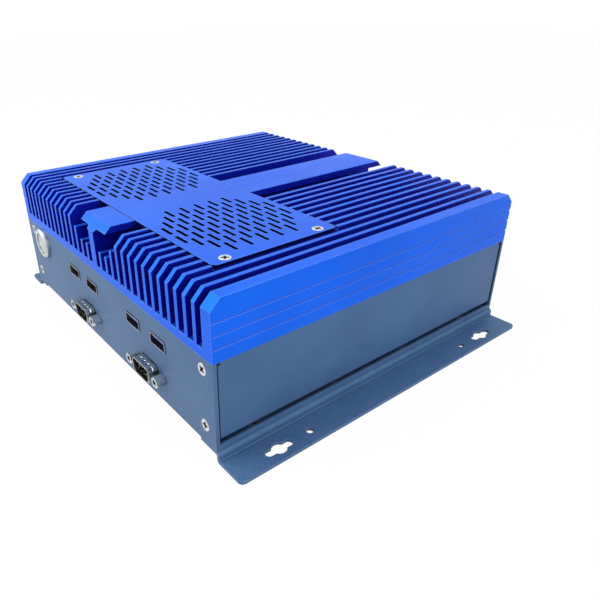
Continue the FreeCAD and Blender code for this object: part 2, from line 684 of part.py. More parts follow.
def slot_punches():
    """Both slot fields as one set of punches through the plate, symmetrical about the mid-plane.

    The rows lie either side of the longest row in the middle; each entry is the number of slots
    in a row, counted outward from that middle row.
    """
    half, side = value("slot_length / 2"), value("slot_width / 2")
    # The round end of a slot as half an octagon
    flat = side * (2 ** 0.5 - 1)
    ends = [(half - side + flat, -side), (half, -flat), (half, flat), (half - side + flat, side)]
    ring = ends + [(-x, y) for x, y in reversed(ends)]
    low = value("vent_seat - overcut")
    wire = Part.makePolygon([V(x, y, low) for x, y in ring + ring[:1]])
    punch = Part.Face(wire).extrude(V(0, 0, value("vent_thick + 2 * overcut")))
    row_counts = (5, 4, 5, 4, 5, 4, 3, 2)
    punches = []
    for row in range(1 - len(row_counts), len(row_counts)):
        count = row_counts[abs(row)]
        for n in range(count):
            x = value("field_offset") + (n - (count - 1) / 2) * value("slot_pitch")
            y = value("vent_middle") + row * value("row_pitch")
            punches += [punch.translated(V(x, y, 0)), punch.translated(V(-x, y, 0))]
    tool = doc.addObject("Part::Feature", "slot_punches")
    tool.Shape = Part.Compound(punches)
    return tool


def make_vent_screws():
    spots = [(x, "vent_middle %s vent_screw_offset" % sign, "sink_top")
             for x in both_ways("vent_screw_x") for sign in "+-"]
    keep(copies(sunk_screw("vent_screw_length"), spots), "vent_plate_screws")


# ---------------------------------------------------------------------------------------------
# D-shaped connector outline, wide side up, about an axis along Y
# ---------------------------------------------------------------------------------------------
def d_outline(x, z, grow):
    top = "d_width / 2 + %s" % grow
    low = "d_width / 2 - d_slope + %s" % grow
    rise = "d_tall / 2 + %s" % grow
    return [("%s - (%s)" % (x, low), "%s - (%s)" % (z, rise)),
            ("%s + %s" % (x, low), "%s - (%s)" % (z, rise)),
            ("%s + %s" % (x, top), "%s + %s" % (z, rise)),
            ("%s - (%s)" % (x, top), "%s + %s" % (z, rise))]


def panel_holes(body, at, thickness):
    """The four corner screw holes of a panel that lies across Y."""
    pocket(body, "XZ", at + " - overcut", [], thickness + " + 2 * overcut",
           [(x, z, "clear_dia") for x in both_ways("panel_screw_x")
            for z in ("panel_screw_high_z", "panel_screw_low_z")])


def near(x, z):
    """A test for edges of the D-shaped window about an axis along Y."""
    reach = value("d_width / 2 + d_window_gap + overcut")
    return lambda middle: abs(middle.x - value(x)) < reach and abs(middle.z - value(z)) < reach


def make_front_panel():
    body = new_body()
    pad(body, "XZ", "-half_depth",
        [rectangle("-half_width", "half_width", "chassis_bottom", "sink_bottom")], "panel_thick")
    panel_holes(body, "-half_depth", "panel_thick")
    countersink(body, 1, "-half_depth")
    cut_from, cut_through = "-half_depth - overcut", "panel_thick + 2 * overcut"
    wide = "(usb_width / 2 + usb_window_gap)"
    tall = "(usb_tall / 2 + usb_window_gap)"
    pocket(body, "XZ", cut_from, [rectangle(
        "%s - %s" % (x, wide), "%s + %s" % (x, wide), "usb_z - " + tall, "usb_z + " + tall)
        for x in ("usb_1_x", "usb_2_x", "usb_3_x", "usb_4_x")], cut_through)
    for x in ("serial_1_x", "serial_2_x"):
        pocket(body, "XZ", cut_from, [d_outline(x, "serial_z", "d_window_gap")], cut_through)
        round_edges(body, "d_round + d_window_gap", 1, near(x, "serial_z"))
        pocket(body, "XZ", cut_from, [], cut_through,
               [("%s %s jack_offset" % (x, sign), "serial_z", "clear_dia") for sign in "+-"])
    pocket(body, "XZ", cut_from, [], cut_through,
           [("button_x", "button_z", "barrel_dia + cap_gap")])
    return keep(body, "front_panel")


def make_panel_screws():
    master = sunk_screw("panel_screw_length")
    sides = [("-half_depth", "front"), ("half_depth", "rear")]
    groups = [copies(master, [(x, y, z) for x in both_ways("panel_screw_x")
                              for z in ("panel_screw_high_z", "panel_screw_low_z")], way)
              for y, way in sides]
    keep(together(groups), "panel_screws")


# ---------------------------------------------------------------------------------------------
# Chassis: tray, two folded side panels on spacers, two Z-shaped brackets
# ---------------------------------------------------------------------------------------------
def make_side_panel(label, side):
    """A pan folded inward on four sides; side is 1 on the right and -1 on the left."""
    body = new_body()

    def across(outer, inner):
        ends = (inner, outer) if side > 0 else ("-(%s)" % outer, "-(%s)" % inner)
        return ends

    pad(body, "XY", "skin_bottom",
        [rectangle(*across("skin_face", "flange_end"), "panel_back", "rear_face")],
        "sink_bottom - skin_bottom")
    pocket(body, "XY", "skin_bottom + skin_thick",
           [rectangle(*across("skin_face - skin_thick", "flange_end - overcut"),
                      "panel_back + skin_thick", "rear_face - skin_thick")],
           "sink_bottom - skin_bottom - 2 * skin_thick")
    outside = lambda middle: abs(abs(middle.x) - value("skin_face")) < TOUCH
    round_edges(body, "skin_bend", 2, outside)
    round_edges(body, "skin_bend", 1,
                lambda middle: outside(middle) and middle.z < value("skin_bottom + overcut"))
    # Bend reliefs: notches through the corners where two flanges meet
    corners = [rectangle(y_from, y_to, z_from, z_to)
               for y_from, y_to in (("panel_back - overcut", "panel_back + relief"),
                                    ("rear_face - relief", "rear_face + overcut"))
               for z_from, z_to in (("skin_bottom - overcut", "skin_bottom + relief"),
                                    ("sink_bottom - relief", "sink_bottom + overcut"))]
    reach_from = "flange_end - overcut" if side > 0 else "skin_thick - skin_face"
    pocket(body, "YZ", reach_from, corners, "flange_reach + overcut - skin_thick")
    x = "%d * " % side
    for y_from in ("panel_back - overcut", "rear_face - skin_thick - overcut"):
        pocket(body, "XZ", y_from, [], "skin_thick + 2 * overcut",
               [(x + "panel_screw_x", z, "tap_dia")
                for z in ("panel_screw_high_z", "panel_screw_low_z")])
    hole = pocket(body, "XY", "skin_bottom - overcut", [], "skin_thick + 2 * overcut",
                  [(x + "bracket_screw_x", "-bracket_screw_place", "tap_dia")])
    pattern(body, hole, [("V_Axis", 4, "bracket_screw_pitch")])
    hole = pocket(body, "XY", "sink_bottom - skin_thick - overcut", [],
                  "skin_thick + 2 * overcut",
                  [(x + "sink_screw_x", "-sink_screw_place", "clear_dia")])
    pattern(body, hole, [("V_Axis", 3, "sink_screw_place")])
    return keep(body, label)


def bracket_screw_spots(z):
    rows = ["-bracket_screw_place + %d * bracket_screw_pitch" % n for n in range(4)]
    return [(x, y, z) for x in both_ways("bracket_screw_x") for y in rows]


def make_tray():
    body = new_body()
    inner = "half_width - tray_thick"
    lip_top = "chassis_bottom + tray_lip"
    pad(body, "XZ", "panel_back", [[
        ("-half_width", "chassis_bottom"), ("half_width", "chassis_bottom"),
        ("half_width", lip_top), (inner, lip_top), (inner, "tray_floor"),
        ("-(%s)" % inner, "tray_floor"), ("-(%s)" % inner, lip_top), ("-half_width", lip_top)]],
        "rear_face - panel_back")
    cut_from, cut_through = "chassis_bottom - overcut", "tray_thick + 2 * overcut"
    hole = pocket(body, "XY", cut_from, [], cut_through,
                  [("bracket_screw_x", "-bracket_screw_place", "clear_dia")])
    pattern(body, hole, [("V_Axis", 4, "bracket_screw_pitch")], ["YZ"])
    pocket(body, "XY", cut_from, [], cut_through,
           [(x, y, "clear_dia") for x, y in drive_holes()])
    countersink_tray(body)
    pocket(body, "XY", cut_from, [], cut_through,
           [(x, y, "post_stub_dia + tap_fit") for x, y in serial_posts()])
    return keep(body, "base_tray")


def countersink_tray(body):
    """Bevels only the drive's screw holes, from below."""
    doc.recompute()
    base = body.Tip
    reach = value("drive_width / 2")
    names = []
    for number, edge in enumerate(base.Shape.Edges, 1):
        if edge.Curve.TypeId != "Part::GeomCircle":
            continue
        centre = edge.Curve.Center
        below = abs(centre.z - value("chassis_bottom")) < TOUCH
        if below and abs(centre.x - value("drive_x")) < reach:
            names.append("Edge%d" % number)
    feature = body.newObject("PartDesign::Chamfer", "countersink")
    feature.Base = (base, names)
    bind(feature, "Size", "sink_chamfer")


def make_bracket(label, side):
    body = new_body()
    outline = [("half_width - bracket_tuck", "leg_bottom"), ("half_width", "leg_bottom"),
               ("half_width", "0"), ("half_width + bracket_reach", "0"),
               ("half_width + bracket_reach", "bracket_thick"),
               ("half_width + bracket_thick", "bracket_thick"),
               ("half_width + bracket_thick", "chassis_bottom"),
               ("half_width - bracket_tuck", "chassis_bottom")]
    turned = [("%d * (%s)" % (side, across), up) for across, up in outline]
    pad(body, "XZ", "-half_depth", [turned], "case_depth")
    top_bend = lambda m: abs(m.z - value("chassis_bottom")) < TOUCH and (
        abs(abs(m.x) - value("half_width + bracket_thick")) < TOUCH)
    round_edges(body, "bracket_bend", 1, top_bend)
    foot_bend = lambda m: abs(m.z) < TOUCH and abs(abs(m.x) - value("half_width")) < TOUCH
    round_edges(body, "bracket_bend", 1, foot_bend)
    inner_bends = lambda m: (
        abs(abs(m.x) - value("half_width + bracket_thick")) < TOUCH
        and abs(m.z - value("bracket_thick")) < TOUCH) or (
        abs(abs(m.x) - value("half_width")) < TOUCH and abs(m.z - value("leg_bottom")) < TOUCH)
    round_edges(body, "bracket_bend / 4", 1, inner_bends)
    round_edges(body, "bracket_corner", 2,
                lambda m: abs(abs(m.x) - value("half_width + bracket_reach")) < TOUCH)
    x = "%d * hole_line" % side
    slot = "keyhole_slot / 2"
    for y in both_ways("keyhole_place"):
        ends = ["%s %s (keyhole_length / 2 - %s)" % (y, sign, slot) for sign in "-+"]
        pocket(body, "XY", "-overcut",
               [rectangle("%s - %s" % (x, slot), "%s + %s" % (x, slot), *ends)],
               "bracket_thick + 2 * overcut")
        for end in ends:
            pocket(body, "XY", "-overcut", [], "bracket_thick + 2 * overcut",
                   [(x, end, "keyhole_slot")])
        pocket(body, "XY", "-overcut", [], "bracket_thick + 2 * overcut",
               [(x, y, "keyhole_dia")])
    pocket(body, "XY", "-overcut", [], "bracket_thick + 2 * overcut",
           [(x, y, "small_hole_dia") for y in both_ways("small_hole_place")])
    hole = pocket(body, "XY", "leg_bottom - overcut", [], "bracket_thick + 2 * overcut",
                  [("%d * bracket_screw_x" % side, "-bracket_screw_place", "clear_dia")])
    pattern(body, hole, [("V_Axis", 4, "bracket_screw_pitch")])
    return keep(body, label)


def make_chassis_fasteners():
    spacer = less(hexagon("0", "0", "0", "spacer_flats", "spacer_height", "up"),
                  [rod("0", "0", "-overcut", "clear_dia", "spacer_height + 2 * overcut", "up")])
    keep(copies(spacer, bracket_screw_spots("tray_floor")), "side_panel_spacers")
    keep(copies(pan_screw("bracket_screw_length"),
                bracket_screw_spots("leg_bottom - pan_height"), "down"), "bracket_screws")
    rows = ["%d * sink_screw_place" % n for n in (-1, 0, 1)]
    spots = [(x, y, "sink_bottom - skin_thick - pan_height")
             for x in both_ways("sink_screw_x") for y in rows]
    keep(copies(pan_screw("skin_thick + base_bite"), spots, "down"), "heatsink_screws")


# ---------------------------------------------------------------------------------------------
# Front ports and push button
# ---------------------------------------------------------------------------------------------
def make_usb_ports():
    front = "-half_depth - usb_proud"
    back = "usb_deep - half_depth"
    for number in (1, 2, 3, 4):
        x = "usb_%d_x" % number
        wide, tall = "usb_width / 2", "usb_tall / 2"
        shell = less(
            box(x + " - " + wide, x + " + " + wide, front, back,
                "usb_z - " + tall, "usb_z + " + tall),
            [box(x + " - (%s - usb_sheet)" % wide, x + " + %s - usb_sheet" % wide,
                 front + " - overcut", back + " + overcut",
                 "usb_z - (%s - usb_sheet)" % tall, "usb_z + %s - usb_sheet" % tall)])
        feet = [box("%s %s (%s - usb_sheet / 2) - usb_sheet / 2" % (x, sign, wide),
                    "%s %s (%s - usb_sheet / 2) + usb_sheet / 2" % (x, sign, wide),
                    "-half_depth + usb_deep / 2", "-half_depth + usb_deep / 2 + usb_foot",
                    "board_top", "usb_z") for sign in "+-"]
        keep(joined([shell] + feet), "usb_port_%d_shell" % number)
        inner = "%s - usb_sheet" % wide
        tongue = box(x + " - tongue_width / 2", x + " + tongue_width / 2",
                     front + " + tongue_setback", back, "usb_z + tongue_lift",
                     "usb_z + tongue_lift + tongue_thick")
        block = box(x + " - (%s)" % inner, x + " + " + inner, back + " - usb_back", back,
                    "usb_z - (%s - usb_sheet)" % tall, "usb_z + %s - usb_sheet" % tall)
        keep(joined([tongue, block]), "usb_port_%d_insert" % number)


def d_shell(x, z, front, back):
    """A D-shaped tube between two places along Y."""
    body = new_body()
    length = "(%s) - (%s)" % (back, front)
    pad(body, "XZ", front, [d_outline(x, z, "0")], length)
    round_edges(body, "d_round", 1)
    bore = new_body()
    pad(bore, "XZ", front + " - overcut", [d_outline(x, z, "(-d_sheet)")],
        length + " + 2 * overcut")
    round_edges(bore, "d_round - d_sheet", 1)
    return body, bore


def make_serial_port(number):
    x, z = "serial_%d_x" % number, "serial_z"
    front = "-half_depth - d_proud"
    flange_back = "panel_back + d_flange_thick"
    outer, bore = d_shell(x, z, front, flange_back)
    flange = less(
        box(x + " - d_flange_width / 2", x + " + d_flange_width / 2", "panel_back", flange_back,
            "serial_board_top", "serial_board_top + d_flange_tall"),
        [rod("%s %s jack_offset" % (x, sign), "panel_back - overcut", z, "jack_thread + tap_fit",
             "d_flange_thick + 2 * overcut", "rear") for sign in "+-"])
    keep(less(joined([outer, flange]), [bore]), "serial_port_%d_shell" % number)
    insert = new_body()
    pad(insert, "XZ", front + " + d_proud", [d_outline(x, z, "(-d_sheet)")],
        flange_back + " - (%s + d_proud)" % front)
    round_edges(insert, "d_round - d_sheet", 1)
    body = box(x + " - d_width / 2", x + " + d_width / 2", flange_back,
               flange_back + " + d_body_deep", "serial_board_top", z + " + d_tall / 2")
    keep(joined([insert, body]), "serial_port_%d_insert" % number)


def make_pins():
    """Five pins over four in each serial port."""
    spots = []
    for x in ("serial_1_x", "serial_2_x"):
        for count, sign in ((5, "+"), (4, "-")):
            spots += [("%s + %g * pin_pitch" % (x, n - (count - 1) / 2),
                       "pin_setback - half_depth - d_proud", "serial_z %s pin_row / 2" % sign)
                      for n in range(count)]
    length = "d_proud - pin_setback"
    pin = prism("0", "0", "-(%s)" % length, PIN_SIDES, "pin_dia", length)
    keep(copies(pin, spots, "front"), "serial_port_pins")


def make_jackscrews():
    head = hexagon("0", "0", "-jack_proud", "jack_flats", "jack_proud", "up")
    whole = "jack_proud + panel_thick + d_flange_thick"
    shank = rod("0", "0", "-(%s)" % whole, "jack_thread", whole, "up")
    bore = rod("0", "0", "jack_floor - jack_proud", "jack_thread", "jack_proud", "up")
    master = less(joined([head, shank]), [bore])
    spots = [("%s %s jack_offset" % (x, sign), "-half_depth - jack_proud", "serial_z")
             for x in ("serial_1_x", "serial_2_x") for sign in "+-"]
    rear_spots = [("video_2_x %s jack_offset" % sign, "half_depth + jack_proud", "video_2_z")
                  for sign in "+-"]
    keep(together([copies(master, spots, "front"), copies(master, rear_spots, "rear")]),
         "jackscrews")


def make_button():
    x, z = "button_x", "button_z"
    rim = "-half_depth - bezel_proud"
    back = "panel_back + barrel_deep"
    slope = doc.addObject("Part::Cone", "rim")
    bind(slope, "Radius1", "bezel_dia / 2")
    bind(slope, "Radius2", "bezel_dia / 2 - bezel_slope")
    bind(slope, "Height", "bezel_slope")
    slope.Placement = FreeCAD.Placement(V(), TURNS["front"])
    place(slope, x, rim + " + bezel_slope", z)
    bezel = rod(x, rim + " + bezel_slope", z, "bezel_dia", "bezel_proud - bezel_slope", "rear")
    barrel = rod(x, "-half_depth", z, "barrel_dia", "panel_thick + barrel_deep", "rear")
    mouth = rod(x, rim + " - overcut", z, "lip_bore", "lip_thick + 2 * overcut", "rear")
    bore = rod(x, rim + " + lip_thick", z, "barrel_bore",
               "(%s) - (%s) - lip_thick - lip_thick" % (back, rim), "rear")
    stem_hole = rod(x, back + " - lip_thick - overcut", z, "stem_dia + 2 * cap_gap",
                    "lip_thick + 2 * overcut", "rear")
    keep(less(joined([slope, bezel, barrel]), [mouth, bore, stem_hole]), "button_housing")

    face = rod(x, rim + " + cap_sunk", z, "lip_bore - 2 * cap_gap", "cap_long", "rear")
    skirt = rod(x, rim + " + lip_thick + cap_gap", z, "barrel_bore - 2 * cap_gap",
                "cap_sunk + cap_long - lip_thick - cap_gap", "rear")
    stem = rod(x, rim + " + cap_sunk + cap_long", z, "stem_dia", "stem_long", "rear")
    keep(joined([face, skirt, stem]), "button_cap")

    ring = less(rod(x, "panel_back", z, "nut_dia", "nut_thick", "rear"),
                [rod(x, "panel_back - overcut", z, "barrel_dia + tap_fit",
                     "nut_thick + 2 * overcut", "rear")])
    keep(ring, "button_nut")
    switch = less(rod(x, back, z, "switch_dia", "switch_deep", "rear"),
                  [rod(x, back + " - overcut", z, "stem_dia + 2 * cap_gap",
                       "overcut + stem_long + cap_travel", "rear")])
    keep(switch, "button_switch")


# ---------------------------------------------------------------------------------------------
# Inside: main board under the heatsink, serial board and drive on the tray
# ---------------------------------------------------------------------------------------------
def board_posts():
    return [(x, y) for x in both_ways("post_x") for y in both_ways("post_y")]


def make_main_board():
    body = new_body()
    pad(body, "XY", "board_under", [[
        ("notch_width - board_half", "-board_reach"), ("board_half", "-board_reach"),
        ("board_half", "board_reach"), ("-board_half", "board_reach"),
        ("-board_half", "notch_depth - board_reach"),
        ("notch_width - board_half", "notch_depth - board_reach")]], "board_thick")
    pocket(body, "XY", "board_under - overcut", [], "board_thick + 2 * overcut",
           [(x, y, "clear_dia") for x, y in board_posts()])
    keep(body, "main_board")
    post = joined([hexagon("0", "0", "0", "post_flats", "board_drop", "up"),
                   rod("0", "0", "0", "screw_dia", "board_drop + base_bite", "up")])
    drilled = less(post, [rod("0", "0", "-overcut", "tap_dia", "board_drop / 2 + overcut", "up")])
    keep(copies(drilled, [(x, y, "board_top") for x, y in board_posts()]), "main_board_posts")


def make_cooling():
    def square(side, z_from, z_to):
        half = "(%s) / 2" % side
        return box("heat_x - " + half, "heat_x + " + half, "heat_y - " + half,
                   "heat_y + " + half, z_from, z_to)
    keep(square("chip_side", "board_top", "chip_top"), "processor")
    keep(square("chip_side", "chip_top", "pad_top"), "thermal_pad")
    reach = "(block_side / 2 - block_screw_inset)"
    spots = [("heat_x %s %s" % (a, reach), "heat_y %s %s" % (b, reach))
             for a in "+-" for b in "+-"]
    block = less(square("block_side", "pad_top", "sink_bottom"),
                 [rod(x, y, "pad_top - overcut", "clear_dia", "sink_bottom - pad_top + 2 * overcut",
                      "up") for x, y in spots])
    keep(block, "heat_block")
    keep(copies(pan_screw("sink_bottom - pad_top + base_bite"),
                [(x, y, "pad_top - pan_height") for x, y in spots], "down"), "heat_block_screws")


def make_memory():
    half = "memory_length / 2"
    seat = "board_top + memory_lift"
    back = "memory_y + memory_deep / 2"
    module = box("memory_x - " + half, "memory_x + " + half, "memory_y - memory_deep / 2", back,
                 seat, seat + " + memory_thick")
    above = seat + " + memory_thick"
    chips = [box("memory_x + %d * memory_length / 4 - memory_chip_width / 2" % n,
                 "memory_x + %d * memory_length / 4 + memory_chip_width / 2" % n,
                 "memory_y - memory_chip_near", "memory_y + memory_chip_far",
                 above, above + " + memory_chip_tall") for n in (-1, 0, 1)]
    keep(joined([module] + chips), "memory_module")
    socket = less(box("memory_x - (%s + memory_cover)" % half, "memory_x + %s + memory_cover" % half,
                      back + " - memory_grip", back + " + memory_grip", "board_top",
                      above + " + memory_cover"),
                  [box("memory_x - (%s + memory_fit)" % half, "memory_x + %s + memory_fit" % half,
                       back + " - memory_grip - overcut", back, seat, above)])
    inner, outer = half + " + memory_fit", half + " + memory_fit + memory_arm"
    arms = [box("memory_x " + near_side, "memory_x " + far_side, "memory_y - memory_deep / 2",
                back, "board_top", above)
            for near_side, far_side in (("- (%s)" % outer, "- (%s)" % inner),
                                        ("+ " + inner, "+ " + outer))]
    keep(joined([socket] + arms), "memory_socket")


def make_storage_card():
    half = "card_width / 2"
    seat = "board_top + card_lift"
    near_end = "card_y - card_length / 2"
    far_end = "card_y + card_length / 2"
    board = box("card_x - " + half, "card_x + " + half, near_end, far_end,
                seat, seat + " + card_thick")
    notch = rod("card_x", far_end, seat + " - overcut", "clear_dia",
                "card_thick + 2 * overcut", "up")
    above = seat + " + card_thick"
    chips = [box("card_x - card_chip_width / 2", "card_x + card_chip_width / 2",
                 "card_y %s card_chip_offset - card_chip_length / 2" % sign,
                 "card_y %s card_chip_offset + card_chip_length / 2" % sign,
                 above, above + " + card_chip_tall") for sign in "+-"]
    keep(joined([less(board, [notch])] + chips), "storage_card")
    socket = less(box("card_x - " + half, "card_x + " + half, near_end + " - card_socket_back",
                      near_end + " + card_socket_grip", "board_top",
                      above + " + card_socket_cover"),
                  [box("card_x - (%s + overcut)" % half, "card_x + %s + overcut" % half, near_end,
                       near_end + " + card_socket_grip + overcut", seat, above)])
    keep(socket, "storage_card_socket")
    keep(rod("card_x", far_end, "board_top", "post_flats", "card_lift", "up"), "storage_card_post")
    keep(copies(pan_screw("card_thick"), [("card_x", far_end, seat + " + card_thick + pan_height")]),
         "storage_card_screw")


def make_coin_cell():
    seat = "board_top + cell_lift"
    keep(rod("cell_x", "cell_y", seat, "cell_dia", "cell_thick", "up"), "coin_cell")
    holder = less(rod("cell_x", "cell_y", "board_top", "cell_dia + 2 * cell_rim", "cell_holder_tall",
                      "up"),
                  [rod("cell_x", "cell_y", seat, "cell_dia + 2 * tap_fit",
                       "cell_thick + overcut", "up")])
    keep(holder, "coin_cell_holder")


def serial_posts():
    wide = "(serial_board_width / 2 - serial_post_inset)"
    near_y = "serial_board_near + serial_board_depth - serial_post_inset"
    far_y = "serial_board_near + serial_post_inset + d_body_deep"
    return [("serial_board_x %s %s" % (sign, wide), y) for sign in "+-" for y in (near_y, far_y)]


def make_serial_board():
    wide = "serial_board_width / 2"
    under = "tray_floor + serial_board_lift"
    board = less(
        box("serial_board_x - " + wide, "serial_board_x + " + wide, "serial_board_near",
            "serial_board_near + serial_board_depth", under, "serial_board_top"),
        [rod(x, y, under + " - overcut", "clear_dia", "board_thick + 2 * overcut", "up")
         for x, y in serial_posts()])
    keep(board, "serial_board")
    post = joined([hexagon("0", "0", "0", "post_flats", "serial_board_lift", "up"),
                   rod("0", "0", "-tray_thick", "post_stub_dia", "tray_thick + overcut", "up")])
    drilled = less(post, [rod("0", "0", "-tray_thick - overcut", "tap_dia",
                              "tray_thick + serial_board_lift + 2 * overcut", "up")])
    keep(copies(drilled, [(x, y, "tray_floor") for x, y in serial_posts()]),
         "serial_board_posts")
    middle = "serial_board_near + serial_board_depth - link_deep"
    keep(box("serial_board_x - link_width / 2", "serial_board_x + link_width / 2",
             middle + " - link_deep / 2", middle + " + link_deep / 2",
             "serial_board_top", "board_under"), "board_link")


def make_board_screws():
    """The same screws hold the main board from below and the serial board from above."""
    master = pan_screw("board_screw_length")
    upward = [(x, y, "board_under - pan_height") for x, y in board_posts()]
    downward = [(x, y, "serial_board_top + pan_height") for x, y in serial_posts()]
    keep(together([copies(master, upward, "down"), copies(master, downward, "up")]),
         "board_screws")


def drive_holes():
    return [("drive_x %s drive_hole_x / 2" % a, "drive_y %s drive_hole_y / 2" % b)
            for a in "+-" for b in "+-"]


def make_drive():
    case = less(box("drive_x - drive_width / 2", "drive_x + drive_width / 2",
                    "drive_y - drive_length / 2", "drive_y + drive_length / 2",
                    "tray_floor", "tray_floor + drive_tall"),
                [rod(x, y, "tray_floor - overcut", "tap_dia", "drive_screw_length + overcut", "up")
                 for x, y in drive_holes()])
    keep(case, "storage_drive")
    keep(copies(sunk_screw("drive_screw_length"),
                [(x, y, "chassis_bottom") for x, y in drive_holes()], "down"), "drive_screws")


# ---------------------------------------------------------------------------------------------
# Rear panel and the ports behind it
# ---------------------------------------------------------------------------------------------
def make_rear_panel():
    body = new_body()
    pad(body, "XZ", "rear_face",
        [rectangle("-half_width", "half_width", "chassis_bottom", "sink_bottom")], "rear_thick")
    panel_holes(body, "rear_face", "rear_thick")
    countersink(body, 1, "half_depth")
    cut_from, cut_through = "rear_face - overcut", "rear_thick + 2 * overcut"
    gap = "rear_window_gap"
    windows = [rectangle("%s - (lan_width / 2 + %s)" % (x, gap), "%s + lan_width / 2 + %s"
                         % (x, gap), "board_top - " + gap, "board_top + lan_tall + " + gap)
               for x in ("lan_1_x", "lan_2_x")]
    windows.append(rectangle(
        "video_1_x - (video_1_width / 2 + %s)" % gap, "video_1_x + video_1_width / 2 + " + gap,
        "board_top - " + gap, "board_top + video_1_tall + " + gap))
    pocket(body, "XZ", cut_from, windows, cut_through)
    pocket(body, "XZ", cut_from, [d_outline("video_2_x", "video_2_z", "d_window_gap")],
           cut_through)
    round_edges(body, "d_round + d_window_gap", 1, near("video_2_x", "video_2_z"))
    pocket(body, "XZ", cut_from, [], cut_through,
           [("video_2_x %s jack_offset" % sign, "video_2_z", "clear_dia") for sign in "+-"]
           + [("inlet_x", "inlet_z", "inlet_dia + tap_fit")])
    return keep(body, "rear_panel")


def make_network_port(number):
    x = "lan_%d_x" % number
    wide = "lan_width / 2"
    front = "half_depth + rear_proud"
    body = box(x + " - " + wide, x + " + " + wide, front + " - lan_deep", front,
               "board_top", "board_top + lan_tall")
    floor = front + " - lan_mouth_deep"
    mouth = box(x + " - lan_mouth_width / 2", x + " + lan_mouth_width / 2", floor,
                front + " + overcut", "board_top + lan_mouth_low", "board_top + lan_mouth_high")
    latch = box(x + " - latch_width / 2", x + " + latch_width / 2", floor,
                front + " + overcut", "board_top + latch_low", "board_top + lan_mouth_high")
    keep(less(body, [mouth, latch]), "network_port_%d" % number)


def make_video_ports():
    x = "video_1_x"
    front = "half_depth + rear_proud"
    wide = "video_1_width / 2"
    shell = less(box(x + " - " + wide, x + " + " + wide, front + " - video_1_deep", front,
                     "board_top", "board_top + video_1_tall"),
                 [box(x + " - (%s - usb_sheet)" % wide, x + " + %s - usb_sheet" % wide,
                      front + " - video_1_deep + video_1_back", front + " + overcut",
                      "board_top + usb_sheet", "board_top + video_1_tall - usb_sheet")])
    level = "board_top + video_1_tall / 2"
    tongue = box(x + " - video_1_tongue / 2", x + " + video_1_tongue / 2",
                 front + " - video_1_deep", front + " - video_1_setback",
                 level + " - video_1_tongue_thick / 2", level + " + video_1_tongue_thick / 2")
    keep(joined([shell, tongue]), "digital_video_port")

    x, z = "video_2_x", "video_2_z"
    outer, bore = d_shell(x, z, "rear_face - d_flange_thick", "half_depth + d_proud")
    flange = less(
        box(x + " - d_flange_width / 2", x + " + d_flange_width / 2",
            "rear_face - d_flange_thick", "rear_face", "board_top", "board_top + d_flange_tall"),
        [rod("%s %s jack_offset" % (x, sign), "rear_face - d_flange_thick - overcut", z,
             "jack_thread + tap_fit", "d_flange_thick + 2 * overcut", "rear") for sign in "+-"])
    keep(less(joined([outer, flange]), [bore]), "analogue_video_port_shell")
    insert = new_body()
    pad(insert, "XZ", "rear_face - d_flange_thick", [d_outline(x, z, "(-d_sheet)")],
        "d_flange_thick + rear_thick + d_proud - video_2_setback")
    round_edges(insert, "d_round - d_sheet", 1)
    body = box(x + " - d_width / 2", x + " + d_width / 2",
               "rear_face - d_flange_thick - d_body_deep", "rear_face - d_flange_thick",
               "board_top", z + " + d_tall / 2")
    keep(joined([insert, body]), "analogue_video_port_insert")


def make_power_inlet():
    x, z = "inlet_x", "inlet_z"
    front = "half_depth + inlet_proud"
    half = "inlet_body / 2"
    body = box(x + " - " + half, x + " + " + half, "rear_face - inlet_deep", "rear_face",
               "board_top", z + " + " + half)
    barrel = rod(x, "rear_face - overcut", z, "inlet_dia", "rear_thick + inlet_proud + overcut",
                 "rear")
    floor = "(rear_face - inlet_deep + inlet_floor)"
    bore = rod(x, floor, z, "inlet_bore", front + " + overcut - " + floor, "rear")
    pin = rod(x, floor, z, "inlet_pin", front + " - inlet_pin_setback - " + floor, "rear")
    keep(less(joined([body, barrel]), [bore]), "power_inlet")
    keep(pin, "power_inlet_pin")
    nut = less(hexagon(x, "half_depth", z, "inlet_nut", "inlet_nut_thick", "rear"),
               [rod(x, "half_depth - overcut", z, "inlet_dia + tap_fit",
                    "inlet_nut_thick + 2 * overcut", "rear")])
    keep(nut, "power_inlet_nut")


make_heatsink()
make_vent_plate()
make_vent_screws()
make_front_panel()
make_panel_screws()
make_side_panel("right_side_panel", 1)
make_side_panel("left_side_panel", -1)
make_tray()
make_bracket("right_bracket", 1)
make_bracket("left_bracket", -1)
make_chassis_fasteners()
make_usb_ports()
make_serial_port(1)
make_serial_port(2)
make_pins()
make_jackscrews()
make_button()
make_main_board()
make_cooling()
make_memory()
make_storage_card()
make_coin_cell()
make_serial_board()
make_board_screws()
make_drive()
make_rear_panel()
make_network_port(1)
make_network_port(2)
make_video_ports()
make_power_inlet()

doc.recompute()

for thing in doc.Objects:
    if "Invalid" in thing.State or "Error" in thing.State:
        raise RuntimeError("%s (%s) failed: %s" % (thing.Label, thing.Name, thing.State))
for node in NODES:
    if node.Shape.isNull() or not node.Shape.isValid():
        raise RuntimeError("%s has no valid shape" % node.Label)

os.makedirs("parts", exist_ok=True)
for node in NODES:
    node.Shape.exportStep("parts/%s.step" % node.Label)
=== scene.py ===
import json
import math

import bmesh
import bpy
from mathutils import Matrix, Vector


